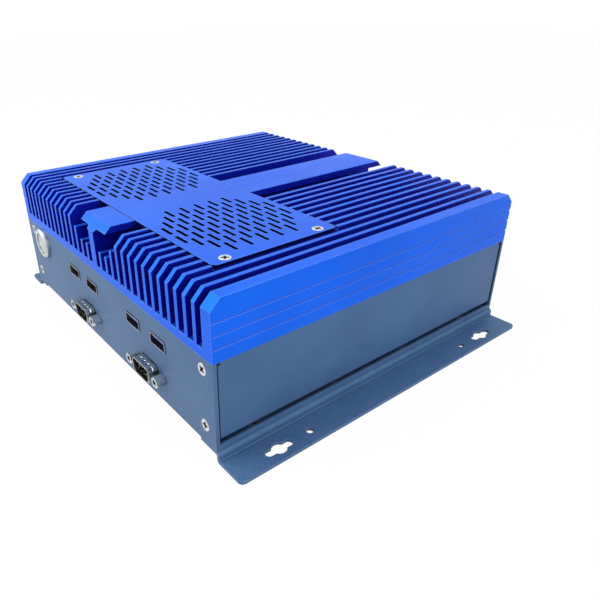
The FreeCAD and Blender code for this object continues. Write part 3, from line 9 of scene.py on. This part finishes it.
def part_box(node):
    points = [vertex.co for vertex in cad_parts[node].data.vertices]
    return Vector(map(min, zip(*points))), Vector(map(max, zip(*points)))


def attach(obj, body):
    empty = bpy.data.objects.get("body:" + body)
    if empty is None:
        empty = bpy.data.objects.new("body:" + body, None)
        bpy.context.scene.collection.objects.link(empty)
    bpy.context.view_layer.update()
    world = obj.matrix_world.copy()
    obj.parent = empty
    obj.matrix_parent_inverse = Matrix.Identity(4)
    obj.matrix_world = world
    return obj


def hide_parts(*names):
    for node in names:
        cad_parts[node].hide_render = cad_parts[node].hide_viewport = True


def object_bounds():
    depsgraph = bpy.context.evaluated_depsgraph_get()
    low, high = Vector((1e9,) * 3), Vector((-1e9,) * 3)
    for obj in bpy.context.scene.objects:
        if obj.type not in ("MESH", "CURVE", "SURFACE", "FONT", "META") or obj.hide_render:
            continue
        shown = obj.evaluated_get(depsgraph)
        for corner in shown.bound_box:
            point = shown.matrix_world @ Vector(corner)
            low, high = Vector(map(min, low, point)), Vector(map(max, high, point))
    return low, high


# Fanless industrial computer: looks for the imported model. Metres, in the model's own frame.
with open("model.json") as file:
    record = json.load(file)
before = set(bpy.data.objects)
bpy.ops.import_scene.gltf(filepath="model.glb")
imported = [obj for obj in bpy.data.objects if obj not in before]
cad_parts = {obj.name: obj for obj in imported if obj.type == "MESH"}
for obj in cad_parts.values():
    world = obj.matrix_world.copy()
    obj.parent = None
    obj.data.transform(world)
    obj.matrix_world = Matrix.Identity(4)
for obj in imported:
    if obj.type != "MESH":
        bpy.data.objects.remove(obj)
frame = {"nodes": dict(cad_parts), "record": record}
CAD_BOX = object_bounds()
NODES = frame["nodes"]
SLOT_OF = {entry["node"]: entry["material_slot"] for entry in frame["record"]["subparts"]}
MM = 0.001


# ---------------------------------------------------------------------------------------------
# Material kit
# ---------------------------------------------------------------------------------------------
# A Mix node's two colours and its colour result, which have no names of their own
MIX_FIRST, MIX_SECOND, MIX_RESULT = 6, 7, 2
# Most of a noise's values lie between these
NOISE_LOW, NOISE_HIGH = 0.3, 0.7
EVEN = (1, 1, 1)
# A face looks a way when its normal reaches further than this along it
FACING = 0.5


def srgb(red, green, blue):
    """A colour given as it shows on a screen, 0 to 255, as the shader wants it."""
    def linear(channel):
        share = channel / 255
        return share / 12.92 if share <= 0.04045 else ((share + 0.055) / 1.055) ** 2.4
    return (linear(red), linear(green), linear(blue), 1)


class Finish:
    """One procedural material: a small kit over its node tree."""

    def __init__(self, name, **sockets):
        self.name = name
        self.material = bpy.data.materials.new(name)
        self.material.use_nodes = True
        self.nodes = self.material.node_tree.nodes
        self.links = self.material.node_tree.links
        self.shader = self.nodes["Principled BSDF"]
        for socket, amount in sockets.items():
            self.shader.inputs[socket.replace("_", " ")].default_value = amount
        self.place = self.nodes.new("ShaderNodeTexCoord").outputs["Object"]

    def node(self, kind, inputs=(), **settings):
        """A node of a kind, its inputs given as numbers, colours or other nodes' sockets."""
        made = self.nodes.new("ShaderNode" + kind)
        for key, setting in settings.items():
            setattr(made, key, setting)
        for key, source in dict(inputs).items():
            if hasattr(source, "is_linked"):
                self.links.new(source, made.inputs[key])
            else:
                made.inputs[key].default_value = source
        return made

    # Numbers and vectors
    def maths(self, operation, *terms):
        """One sum of numbers and sockets."""
        return self.node("Math", dict(enumerate(terms)), operation=operation).outputs[0]

    def both(self, first, second):
        """High where both factors are."""
        return self.maths("MULTIPLY", first, second)

    def distance(self, across, along):
        """The length of a step across and along."""
        squares = [self.maths("POWER", step, 2.0) for step in (across, along)]
        return self.maths("SQRT", self.maths("ADD", *squares))

    def ramp(self, value, start, end, least=0.0, most=1.0, **settings):
        """Goes from least to most while a value goes from start to end."""
        return self.node("MapRange", {"Value": value, "From Min": start, "From Max": end,
                                      "To Min": least, "To Max": most}, **settings).outputs[0]

    def normal(self):
        return self.node("NewGeometry").outputs["Normal"]

    def apart(self, vector):
        """The X, Y and Z of a vector."""
        return self.node("SeparateXYZ", {"Vector": vector}).outputs

    # Patterns
    def noise(self, scale, stretch=EVEN, detail=4):
        """Grain of a scale per metre, stretched along the axes."""
        spread = self.node("Mapping", {"Vector": self.place, "Scale": stretch})
        return self.node("TexNoise", {"Vector": spread.outputs[0], "Scale": scale,
                                      "Detail": detail}).outputs["Fac"]

    def edges(self, softened, most):
        """High along edges, where the softened normal turns away from the face."""
        same = self.node("VectorMath", {0: softened, 1: self.normal()}, operation="DOT_PRODUCT")
        return self.ramp(same.outputs["Value"], start=0.998, end=0.8, most=most)

    def seams(self, reach, most):
        """High in creases and seams within a reach; the finishes darken these as painted shade.
        """
        openness = self.node("AmbientOcclusion", {"Distance": reach}, samples=8).outputs["AO"]
        return self.ramp(openness, start=0.75, end=0.2, most=most)

    # What reaches the shader
    def colour(self, factor, first, second):
        """The shader's colour, between two tints or sockets by a factor."""
        mix = self.node("Mix", {"Factor": factor, MIX_FIRST: first, MIX_SECOND: second},
                        data_type="RGBA")
        self.links.new(mix.outputs[MIX_RESULT], self.shader.inputs["Base Color"])

    def tint(self, grain, dark, light):
        """Colour between two tints by a grain."""
        self.colour(self.ramp(grain, NOISE_LOW, NOISE_HIGH), dark, light)

    def blend(self, factor, tint):
        """Draws the colour so far towards a tint where a factor is high."""
        so_far = self.shader.inputs["Base Color"].links[0].from_socket
        self.colour(factor, so_far, tint)

    def rough(self, grain, least, most):
        """Roughness between two levels by a grain."""
        self.links.new(self.ramp(grain, NOISE_LOW, NOISE_HIGH, least, most),
                       self.shader.inputs["Roughness"])

    def soft_edges(self, radius):
        """Edges broken by a small radius, as deburred metal has them."""
        return self.node("Bevel", {"Radius": radius}, samples=4).outputs[0]

    def bump(self, height, distance, strength, before=None):
        """Relief of a height, over the normal that came before it."""
        made = self.node("Bump", {"Height": height, "Distance": distance, "Strength": strength})
        if before is not None:
            self.links.new(before, made.inputs["Normal"])
        self.links.new(made.outputs[0], self.shader.inputs["Normal"])
        return made.outputs[0]


# ---------------------------------------------------------------------------------------------
# Anodised aluminium: the heatsink and the plate
# ---------------------------------------------------------------------------------------------
SINK_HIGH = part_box("heatsink")[1]
PLATE_LOW, PLATE_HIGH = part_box("vent_plate")
OUTER_WALL = 6.0 * MM
SEAT_SLACK = 0.2 * MM
RIB_PITCH, RIB_HEIGHT = 1.1 * MM, 0.12 * MM
DRAWN_ALONG_Y = (1, 0.012, 1)
EDGE_HIGHLIGHT_BLUE = srgb(118, 174, 255)
SHADE_BLUE = srgb(2, 10, 84)
FLANK_SHADE_BLUE = srgb(0, 22, 165)


def anodised(name, dark, light, streaks):
    """Blue anodised aluminium with faint draw lines along Y and a painted highlight along its
    broken edges.
    """
    finish = Finish(name, Metallic=0.5, Roughness=0.4, Specular_IOR_Level=0.1)
    lines = finish.noise(900, DRAWN_ALONG_Y, detail=3)
    finish.tint(finish.noise(18, detail=2), dark, light)
    finish.rough(lines, least=0.34, most=0.48)
    softened = finish.soft_edges(0.5 * MM)
    grain = finish.bump(lines, distance=0.03 * MM, strength=streaks, before=softened)
    # Painted highlight: the broken edges are drawn paler blue
    finish.blend(finish.edges(softened, most=0.8), EDGE_HIGHLIGHT_BLUE)
    return finish, grain


def extruded(name, dark, light):
    """The heatsink's metal, with finely ribbed fin flanks darkened as painted shade, and
    painted shade on the faces under the plate.
    """
    finish, grain = anodised(name, dark, light, streaks=0.25)
    spot, facing = finish.apart(finish.place), finish.apart(finish.normal())
    between_walls = finish.maths("LESS_THAN", finish.maths("ABSOLUTE", spot["X"]),
                                 SINK_HIGH.x - OUTER_WALL)
    flank = finish.both(finish.maths("ABSOLUTE", facing["X"]), between_walls)
    # Painted shade: the fin flanks between the outer walls are drawn deep blue
    finish.blend(flank, FLANK_SHADE_BLUE)

    # Painted shade on the upward faces beneath the vent plate
    covered = finish.both(
        finish.maths("COMPARE", spot["X"], 0.0, PLATE_HIGH.x),
        finish.maths("COMPARE", spot["Y"], (PLATE_LOW.y + PLATE_HIGH.y) / 2,
                     (PLATE_HIGH.y - PLATE_LOW.y) / 2))
    below_plate = finish.maths("LESS_THAN", spot["Z"], PLATE_LOW.z + SEAT_SLACK)
    upward = finish.maths("GREATER_THAN", facing["Z"], FACING)
    finish.blend(finish.both(finish.both(covered, below_plate), upward), SHADE_BLUE)

    wave = finish.maths("SINE", finish.maths("MULTIPLY", spot["Z"], 2 * math.pi / RIB_PITCH))
    finish.bump(finish.both(wave, flank), distance=RIB_HEIGHT, strength=1.0, before=grain)
    return finish


def punched(name, dark, light):
    """The vent plate's metal, with painted shade on its slot walls."""
    finish, _ = anodised(name, dark, light, streaks=0.12)
    tilt = finish.maths("ABSOLUTE", finish.apart(finish.normal())["Z"])
    upright = finish.maths("LESS_THAN", tilt, FACING)
    # Painted shade on the upright slot walls
    finish.blend(upright, SHADE_BLUE)
    return finish


# ---------------------------------------------------------------------------------------------
# Coated sheet
# ---------------------------------------------------------------------------------------------
SIDE_LOW, SIDE_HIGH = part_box("right_side_panel")
JOINT_WIDTH = 0.9 * MM
NOTCH_LENGTH, NOTCH_HEIGHT = 1.1 * MM, 1.7 * MM
# The speckle is the coat's own; the edge colour is a painted highlight
FLECK, SHEET_EDGE_HIGHLIGHT = srgb(150, 178, 208), srgb(140, 170, 205)
SEAM_SHADE, JOINT_SHADE = srgb(14, 24, 40), srgb(10, 16, 28)


def coated(name, dark, light, roughness, speckle):
    """Fine matt coat on sheet metal, speckled, with a painted highlight along its edges and
    painted shade in the seams.
    """
    finish = Finish(name, Metallic=0.2, Roughness=roughness, Specular_IOR_Level=0.3)
    finish.tint(finish.noise(35, detail=2), dark, light)
    flecks = finish.ramp(finish.noise(1700, detail=1), start=0.58, end=0.72, most=speckle)
    finish.blend(flecks, FLECK)
    grain = finish.noise(5200, detail=2)
    softened = finish.soft_edges(0.3 * MM)
    # Painted highlight: the edges are drawn paler
    finish.blend(finish.edges(softened, most=0.5), SHEET_EDGE_HIGHLIGHT)
    # Painted shade in the seams and creases
    finish.blend(finish.seams(3 * MM, most=0.85), SEAM_SHADE)
    finish.rough(grain, roughness - 0.06, roughness + 0.08)
    finish.bump(grain, distance=0.02 * MM, strength=0.4, before=softened)
    return finish


def jointed(name, dark, light, roughness, speckle):
    """The side panels' coat, with painted shade where they turn into the joint with the panels
    in front and behind, and in the small notch at the top of each joint."""
    finish = coated(name, dark, light, roughness, speckle)
    spot = finish.apart(finish.place)
    depth = finish.maths("ABSOLUTE", spot["Y"])
    joint_depth = -SIDE_LOW.y - JOINT_WIDTH
    joint = finish.maths("GREATER_THAN", depth, joint_depth)
    notch = finish.both(
        finish.maths("GREATER_THAN", depth, joint_depth - NOTCH_LENGTH),
        finish.maths("GREATER_THAN", spot["Z"], SIDE_HIGH.z - NOTCH_HEIGHT))
    # Painted shade in the joints and notches, where the real panels leave a shaded gap
    finish.blend(finish.maths("MAXIMUM", joint, notch), JOINT_SHADE)
    return finish


# ---------------------------------------------------------------------------------------------
# Bare metal, plastic and circuit board
# ---------------------------------------------------------------------------------------------
BRUSHED_ALONG_Y = (1, 0.03, 1)
# Painted shade colours for the creases of bare metal and of the connector shells
METAL_CREASE_SHADE, SHELL_SHADE = srgb(30, 34, 40), srgb(24, 28, 34)
DIMPLE_PITCH, DIMPLE_DEPTH = 3.45 * MM, 0.5 * MM
DIMPLE_FLOOR, DIMPLE_RIM = 0.35 * MM, 1.0 * MM
SERIAL_LOW, SERIAL_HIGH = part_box("serial_port_1_shell")
DIMPLE_LINE = SERIAL_LOW.y + 2.2 * MM
VIDEO_LOW, VIDEO_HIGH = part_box("analogue_video_port_insert")
SOCKET_PITCH, SOCKET_RADIUS = 2.29 * MM, 0.5 * MM
SOCKET_ROW_PITCH = SOCKET_PITCH * 0.86
SOCKETS_A_ROW, FIELD_HALF_HEIGHT = 5, SOCKET_PITCH * 1.2
SOCKET_RISE, SOCKET_DEPTH = 6.2 * MM, 0.3 * MM
SOCKET_SHADE = srgb(8, 9, 14)


def metal(name, dark, light, roughness, scale=5000, stretch=EVEN):
    """Plain bright metal of a grain, with painted shade in its creases."""
    finish = Finish(name, Metallic=1.0, Roughness=roughness)
    grain = finish.noise(scale, stretch, detail=2)
    finish.tint(finish.noise(300, stretch, detail=2), dark, light)
    # Painted shade in the creases
    finish.blend(finish.seams(1.5 * MM, most=0.8), METAL_CREASE_SHADE)
    finish.rough(grain, roughness - 0.05, roughness + 0.08)
    finish.bump(grain, distance=0.004 * MM, strength=0.3, before=finish.soft_edges(0.2 * MM))
    return finish


def dimpled(name, dark, light):
    """Stamped connector shell with a row of round dimples along its top and underside."""
    finish = Finish(name, Metallic=1.0, Roughness=0.24)
    grain = finish.noise(5000, detail=2)
    finish.tint(finish.noise(300, detail=2), dark, light)
    # Painted shade near the panel and in the shell's creases
    finish.blend(finish.seams(5 * MM, most=0.85), SHELL_SHADE)
    finish.rough(grain, least=0.18, most=0.32)
    spot = finish.apart(finish.place)
    from_middle = finish.maths("SUBTRACT", spot["X"], (SERIAL_LOW.x + SERIAL_HIGH.x) / 2)
    along = finish.maths("PINGPONG", from_middle, DIMPLE_PITCH / 2)
    across = finish.maths("SUBTRACT", spot["Y"], DIMPLE_LINE)
    dip = finish.ramp(finish.distance(along, across), DIMPLE_FLOOR, DIMPLE_RIM,
                      interpolation_type="SMOOTHSTEP")
    finish.bump(dip, distance=DIMPLE_DEPTH, strength=1.0, before=finish.soft_edges(0.2 * MM))
    return finish


def plastic(name, dark, light, roughness):
    """Moulded plastic with a fine even grain."""
    finish = Finish(name, Roughness=roughness)
    grain = finish.noise(2500, detail=3)
    finish.tint(finish.noise(120), dark, light)
    finish.rough(grain, roughness - 0.05, roughness + 0.1)
    finish.bump(grain, distance=0.015 * MM, strength=0.5, before=finish.soft_edges(0.1 * MM))
    return finish


def socketed(name, dark, light):
    """Face of the analogue video port, with three rows of pin sockets whose holes are darkened
    as painted shade.
    """
    finish = Finish(name, Roughness=0.4)
    finish.tint(finish.noise(120), dark, light)
    spot = finish.apart(finish.place)
    x = finish.maths("SUBTRACT", spot["X"], (VIDEO_LOW.x + VIDEO_HIGH.x) / 2)
    z = finish.maths("SUBTRACT", spot["Z"], VIDEO_LOW.z + SOCKET_RISE)
    from_socket = finish.distance(finish.maths("PINGPONG", x, SOCKET_PITCH / 2),
                                  finish.maths("PINGPONG", z, SOCKET_ROW_PITCH / 2))
    field = finish.both(
        finish.maths("COMPARE", x, 0.0, SOCKET_PITCH * SOCKETS_A_ROW / 2),
        finish.maths("COMPARE", z, 0.0, FIELD_HALF_HEIGHT))
    hole = finish.both(finish.maths("LESS_THAN", from_socket, SOCKET_RADIUS), field)
    outward = finish.maths("GREATER_THAN", finish.apart(finish.normal())["Y"], FACING)
    # Painted shade in the socket holes
    finish.blend(finish.both(hole, outward), SOCKET_SHADE)
    finish.rough(finish.noise(2500, detail=3), least=0.36, most=0.5)
    finish.bump(hole, distance=-SOCKET_DEPTH, strength=0.5, before=finish.soft_edges(0.1 * MM))
    return finish


def board(name, dark, light):
    """Solder mask over copper traces."""
    finish = Finish(name, Roughness=0.35)
    cells = finish.node("TexVoronoi", {"Vector": finish.place, "Scale": 260.0},
                        feature="DISTANCE_TO_EDGE", distance="MANHATTAN").outputs["Distance"]
    finish.tint(cells, dark, light)
    finish.bump(cells, distance=0.05 * MM, strength=0.3)
    return finish


# ---------------------------------------------------------------------------------------------
# The materials and what wears them
# ---------------------------------------------------------------------------------------------
FINISHES = {finish.name: finish.material for finish in (
    extruded("blue_anodised", srgb(10, 94, 228), srgb(18, 106, 243)),
    punched("blue_plate", srgb(24, 96, 228), srgb(34, 108, 243)),
    coated("blue_panel", srgb(72, 104, 142), srgb(80, 113, 151), roughness=0.5, speckle=0.1),
    coated("blue_sheet", srgb(70, 106, 147), srgb(78, 114, 156), roughness=0.52, speckle=0.22),
    jointed("blue_side", srgb(64, 98, 140), srgb(72, 107, 150), roughness=0.5, speckle=0.04),
    metal("steel_screw", srgb(206, 210, 212), srgb(230, 232, 234), roughness=0.28),
    metal("zinc_steel", srgb(165, 170, 176), srgb(195, 198, 202), roughness=0.35),
    metal("port_steel", srgb(140, 146, 150), srgb(166, 172, 176), roughness=0.26),
    metal("bright_steel", srgb(184, 188, 190), srgb(212, 216, 218), roughness=0.16),
    metal("satin_steel", srgb(186, 192, 194), srgb(214, 219, 220), roughness=0.32),
    # The pins are coloured far darker than gold, as painted shade deep in the connectors
    metal("gold_pin", srgb(70, 60, 42), srgb(96, 84, 60), roughness=0.35),
    metal("bare_aluminium", srgb(170, 174, 180), srgb(200, 202, 206), roughness=0.4,
          scale=900, stretch=BRUSHED_ALONG_Y),
    dimpled("serial_shell", srgb(150, 156, 158), srgb(184, 190, 192)),
    plastic("black_insert", srgb(10, 12, 16), srgb(20, 22, 28), roughness=0.45),
    plastic("black_inlet", srgb(14, 14, 16), srgb(24, 24, 27), roughness=0.45),
    plastic("processor_black", srgb(24, 24, 26), srgb(34, 34, 37), roughness=0.35),
    plastic("blue_insert", srgb(18, 52, 130), srgb(28, 66, 150), roughness=0.4),
    plastic("grey_pad", srgb(128, 134, 142), srgb(146, 151, 158), roughness=0.75),
    # Near-black finish for the screws' cross recesses, as painted shade
    plastic("screw_recess", srgb(26, 28, 32), srgb(44, 46, 52), roughness=0.5),
    socketed("video_face", srgb(20, 50, 140), srgb(30, 64, 160)),
    board("green_board", srgb(20, 92, 52), srgb(10, 66, 38)),
)}

# Nodes with a finish of their own; the others wear their slot's
OWN_FINISH = {
    "left_side_panel": "blue_side",
    "right_side_panel": "blue_side",
    "serial_port_1_shell": "serial_shell",
    "serial_port_2_shell": "serial_shell",
    "analogue_video_port_insert": "video_face",
    "button_housing": "satin_steel",
    "button_cap": "satin_steel",
}

for name, node in NODES.items():
    node.data.materials.clear()
    node.data.materials.append(FINISHES[OWN_FINISH.get(name, SLOT_OF[name])])


# ---------------------------------------------------------------------------------------------
# Screw heads with a cross recess
# ---------------------------------------------------------------------------------------------
HEAD_SIDES = 36
HEAD_RADIUS, HEAD_EDGE = 2.85 * MM, 0.15 * MM
CONE_RADIUS, CONE_DEPTH = HEAD_RADIUS * 0.6, HEAD_RADIUS * 0.4
CROSS_ARM, CROSS_HALF_WIDTH = HEAD_RADIUS * 0.6, HEAD_RADIUS * 0.19
CROSS_DEPTH = 1.3 * MM
# The recess narrows towards its floor
FLOOR_ARM, FLOOR_HALF_WIDTH = CROSS_ARM * 0.75, CROSS_HALF_WIDTH * 0.8
RECESS_MATERIAL = 1
WELD_REACH = 0.001 * MM
# Each screw was driven home to a different turn, in degrees
FIRST_TURN, TURN_STEP = 17, 41
UPWARD = Matrix.Identity(4)
FRONTWARD = Matrix.Rotation(math.pi / 2, 4, "X")
REARWARD = Matrix.Rotation(-math.pi / 2, 4, "X")


def ring(mesh, radius, height):
    """A round ring of vertices, counter-clockwise from above."""
    turns = [2 * math.pi * n / HEAD_SIDES for n in range(HEAD_SIDES)]
    return [mesh.verts.new((radius * math.cos(turn), radius * math.sin(turn), height))
            for turn in turns]


def cross(mesh, arm, half_width, height):
    """A cross-shaped ring of vertices, counter-clockwise from above."""
    corners = ((arm, -half_width), (arm, half_width), (half_width, half_width))
    made = []
    for quarter in range(4):
        turn = Matrix.Rotation(quarter * math.pi / 2, 3, "Z")
        for x, y in corners:
            made.append(mesh.verts.new(turn @ Vector((x, y, height))))
    return made


def bridge(mesh, low, high):
    """The faces of a band from one ring up to the next."""
    count = len(low)
    return [mesh.faces.new((low[n], low[(n + 1) % count], high[(n + 1) % count], high[n]))
            for n in range(count)]


def screw_head():
    """A countersunk head with a cross recess, its face at z 0 and its cone below."""
    mesh = bmesh.new()
    rim = ring(mesh, HEAD_RADIUS - HEAD_EDGE, 0)
    outer = ring(mesh, HEAD_RADIUS, -HEAD_EDGE)
    foot = ring(mesh, CONE_RADIUS, -CONE_DEPTH)
    bridge(mesh, outer, rim)
    bridge(mesh, foot, outer)
    mesh.faces.new(list(reversed(foot)))
    mouth = cross(mesh, CROSS_ARM, CROSS_HALF_WIDTH, 0)
    floor = cross(mesh, FLOOR_ARM, FLOOR_HALF_WIDTH, -CROSS_DEPTH)
    for face in bridge(mesh, floor, mouth) + [mesh.faces.new(floor)]:
        face.material_index = RECESS_MATERIAL
    edges = []
    for loop in (rim, mouth):
        for n in range(len(loop)):
            edges.append(mesh.edges.get((loop[n], loop[(n + 1) % len(loop)])))
    bmesh.ops.triangle_fill(mesh, edges=edges, use_beauty=True)
    bmesh.ops.recalc_face_normals(mesh, faces=mesh.faces)
    return mesh


def solid_boxes(node):
    """The two corners of each separate solid of a node, found by walking its mesh."""
    mesh = bmesh.new()
    mesh.from_mesh(NODES[node].data)
    bmesh.ops.remove_doubles(mesh, verts=mesh.verts, dist=WELD_REACH)
    seen, boxes = set(), []
    for vert in mesh.verts:
        if vert in seen:
            continue
        stack, solid = [vert], []
        seen.add(vert)
        while stack:
            here = stack.pop()
            solid.append(here.co)
            for edge in here.link_edges:
                other = edge.other_vert(here)
                if other not in seen:
                    seen.add(other)
                    stack.append(other)
        low = Vector([min(spots) for spots in zip(*solid)])
        high = Vector([max(spots) for spots in zip(*solid)])
        boxes.append((low, high))
    mesh.free()
    return boxes


def head_places():
    """Where each panel and vent plate screw shows its head, and the way it faces."""
    for low, high in solid_boxes("panel_screws"):
        middle = (low + high) / 2
        if middle.y < 0:
            yield Vector((middle.x, low.y, middle.z)), FRONTWARD
        else:
            yield Vector((middle.x, high.y, middle.z)), REARWARD
    for low, high in solid_boxes("vent_plate_screws"):
        middle = (low + high) / 2
        yield Vector((middle.x, middle.y, high.z)), UPWARD


def dress_screws():
    """Heads with a cross recess stand for the panel and vent plate screws."""
    for number, (spot, way) in enumerate(head_places(), start=1):
        turn = Matrix.Rotation(math.radians(FIRST_TURN + TURN_STEP * number), 4, "Z")
        mesh = screw_head()
        mesh.transform(Matrix.Translation(spot) @ way @ turn)
        mesh.normal_update()
        name = "screw_head_%d" % number
        data = bpy.data.meshes.new(name)
        mesh.to_mesh(data)
        mesh.free()
        data.materials.append(FINISHES["steel_screw"])
        # The recess wears a near-black finish as painted shade
        data.materials.append(FINISHES["screw_recess"])
        head = bpy.data.objects.new(name, data)
        bpy.context.scene.collection.objects.link(head)
        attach(head, "computer")
        if number == 1:
            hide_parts("panel_screws", "vent_plate_screws")


dress_screws()


# ---------------------------------------------------------------------------------------------
# Stage, light and camera
# ---------------------------------------------------------------------------------------------
FLOOR_HALF_SIZE, FLOOR_GAP = 3.0, 0.5 * MM
FLOOR_COLOUR, FLOOR_ROUGHNESS = (0.9, 0.9, 0.9, 1), 0.9
# How far the floor shows as plain white; the rest holds the object's shadow
FLOOR_WHITE = 0.98
WORLD_STRENGTH, SEEN_STRENGTH = 0.4, 1.0
# Name, place, aim, width and height, watts
LAMPS = (
    ("key", (-0.5, -0.9, 1.1), (0, 0, 0.03), (0.9, 0.9), 10),
    ("side", (1.2, -0.1, 0.5), (0, 0, 0.04), (0.7, 0.7), 4.5),
    ("corner", (-0.38, -0.42, 0.22), (-0.1, -0.1, 0.03), (0.2, 0.2), 0.5),
    ("top", (0.0, 0.25, 1.3), (0, 0, 0.05), (1.0, 1.0), 6),
)
# The camera looks down over the front right corner; turns in degrees, lens in millimetres
CAMERA_SPOT = (0.25489, -0.19224, 0.17121)
HEADING, HEIGHT_ANGLE, ROLL = 53.11, 27.85, -0.82
LENS, SHIFT = 34.06, (0.0833, -0.0068)
NEAREST = 5 * MM


def background_rays(tree):
    """1 for the rays that show the background white: from the camera, gloss and glass."""
    rays = tree.nodes.new("ShaderNodeLightPath")
    seen = rays.outputs["Is Camera Ray"]
    for kind in ("Is Glossy Ray", "Is Transmission Ray"):
        either = tree.nodes.new("ShaderNodeMath")
        either.operation = "MAXIMUM"
        tree.links.new(seen, either.inputs[0])
        tree.links.new(rays.outputs[kind], either.inputs[1])
        seen = either.outputs[0]
    return seen


def white_ground():
    """A pale floor that the camera sees as white, with the object's shadow kept faint."""
    mesh = bmesh.new()
    bmesh.ops.create_grid(mesh, x_segments=1, y_segments=1, size=FLOOR_HALF_SIZE)
    data = bpy.data.meshes.new("floor")
    mesh.to_mesh(data)
    mesh.free()
    floor = bpy.data.objects.new("floor", data)
    bpy.context.scene.collection.objects.link(floor)
    floor.location.z = CAD_BOX[0].z - FLOOR_GAP
    material = bpy.data.materials.new("floor")
    material.use_nodes = True
    nodes, links = material.node_tree.nodes, material.node_tree.links
    shader = nodes["Principled BSDF"]
    shader.inputs["Base Color"].default_value = FLOOR_COLOUR
    shader.inputs["Roughness"].default_value = FLOOR_ROUGHNESS
    glow = nodes.new("ShaderNodeEmission")
    glow.inputs["Strength"].default_value = SEEN_STRENGTH
    share = nodes.new("ShaderNodeMath")
    share.operation = "MULTIPLY"
    links.new(background_rays(material.node_tree), share.inputs[0])
    share.inputs[1].default_value = FLOOR_WHITE
    mix = nodes.new("ShaderNodeMixShader")
    links.new(share.outputs[0], mix.inputs[0])
    links.new(shader.outputs[0], mix.inputs[1])
    links.new(glow.outputs[0], mix.inputs[2])
    links.new(mix.outputs[0], nodes["Material Output"].inputs["Surface"])
    data.materials.append(material)


def world_light():
    """An even pale surround; the camera and reflections see it white."""
    world = bpy.data.worlds.new("surround")
    bpy.context.scene.world = world
    world.use_nodes = True
    nodes, links = world.node_tree.nodes, world.node_tree.links
    back = nodes["Background"]
    back.inputs["Color"].default_value = (1, 1, 1, 1)
    level = nodes.new("ShaderNodeMapRange")
    links.new(background_rays(world.node_tree), level.inputs["Value"])
    level.inputs["To Min"].default_value = WORLD_STRENGTH
    level.inputs["To Max"].default_value = SEEN_STRENGTH
    links.new(level.outputs[0], back.inputs["Strength"])


def softbox(name, spot, aim, size, watts):
    """A soft rectangular lamp."""
    light = bpy.data.lights.new(name, "AREA")
    light.shape = "RECTANGLE"
    light.size, light.size_y = size
    light.energy = watts
    lamp = bpy.data.objects.new(name, light)
    bpy.context.scene.collection.objects.link(lamp)
    lamp.location = spot
    lamp.rotation_euler = (Vector(aim) - Vector(spot)).to_track_quat("-Z", "Y").to_euler()


def aim_camera():
    """The camera at the photograph's viewing angle."""
    data = bpy.data.cameras.new("camera")
    data.lens = LENS
    data.shift_x, data.shift_y = SHIFT
    data.clip_start = NEAREST
    camera = bpy.data.objects.new("camera", data)
    bpy.context.scene.collection.objects.link(camera)
    turn, fall = math.radians(HEADING), math.radians(HEIGHT_ANGLE)
    forward = Vector((-math.sin(turn) * math.cos(fall), math.cos(turn) * math.cos(fall),
                      -math.sin(fall)))
    level = forward.to_track_quat("-Z", "Y")
    roll = Matrix.Rotation(math.radians(ROLL), 3, "Z").to_quaternion()
    camera.rotation_mode = "QUATERNION"
    camera.rotation_quaternion = level @ roll
    camera.location = CAMERA_SPOT
    bpy.context.scene.camera = camera


white_ground()
world_light()
for lamp in LAMPS:
    softbox(*lamp)
aim_camera()
bpy.context.scene.view_settings.view_transform = "Standard"
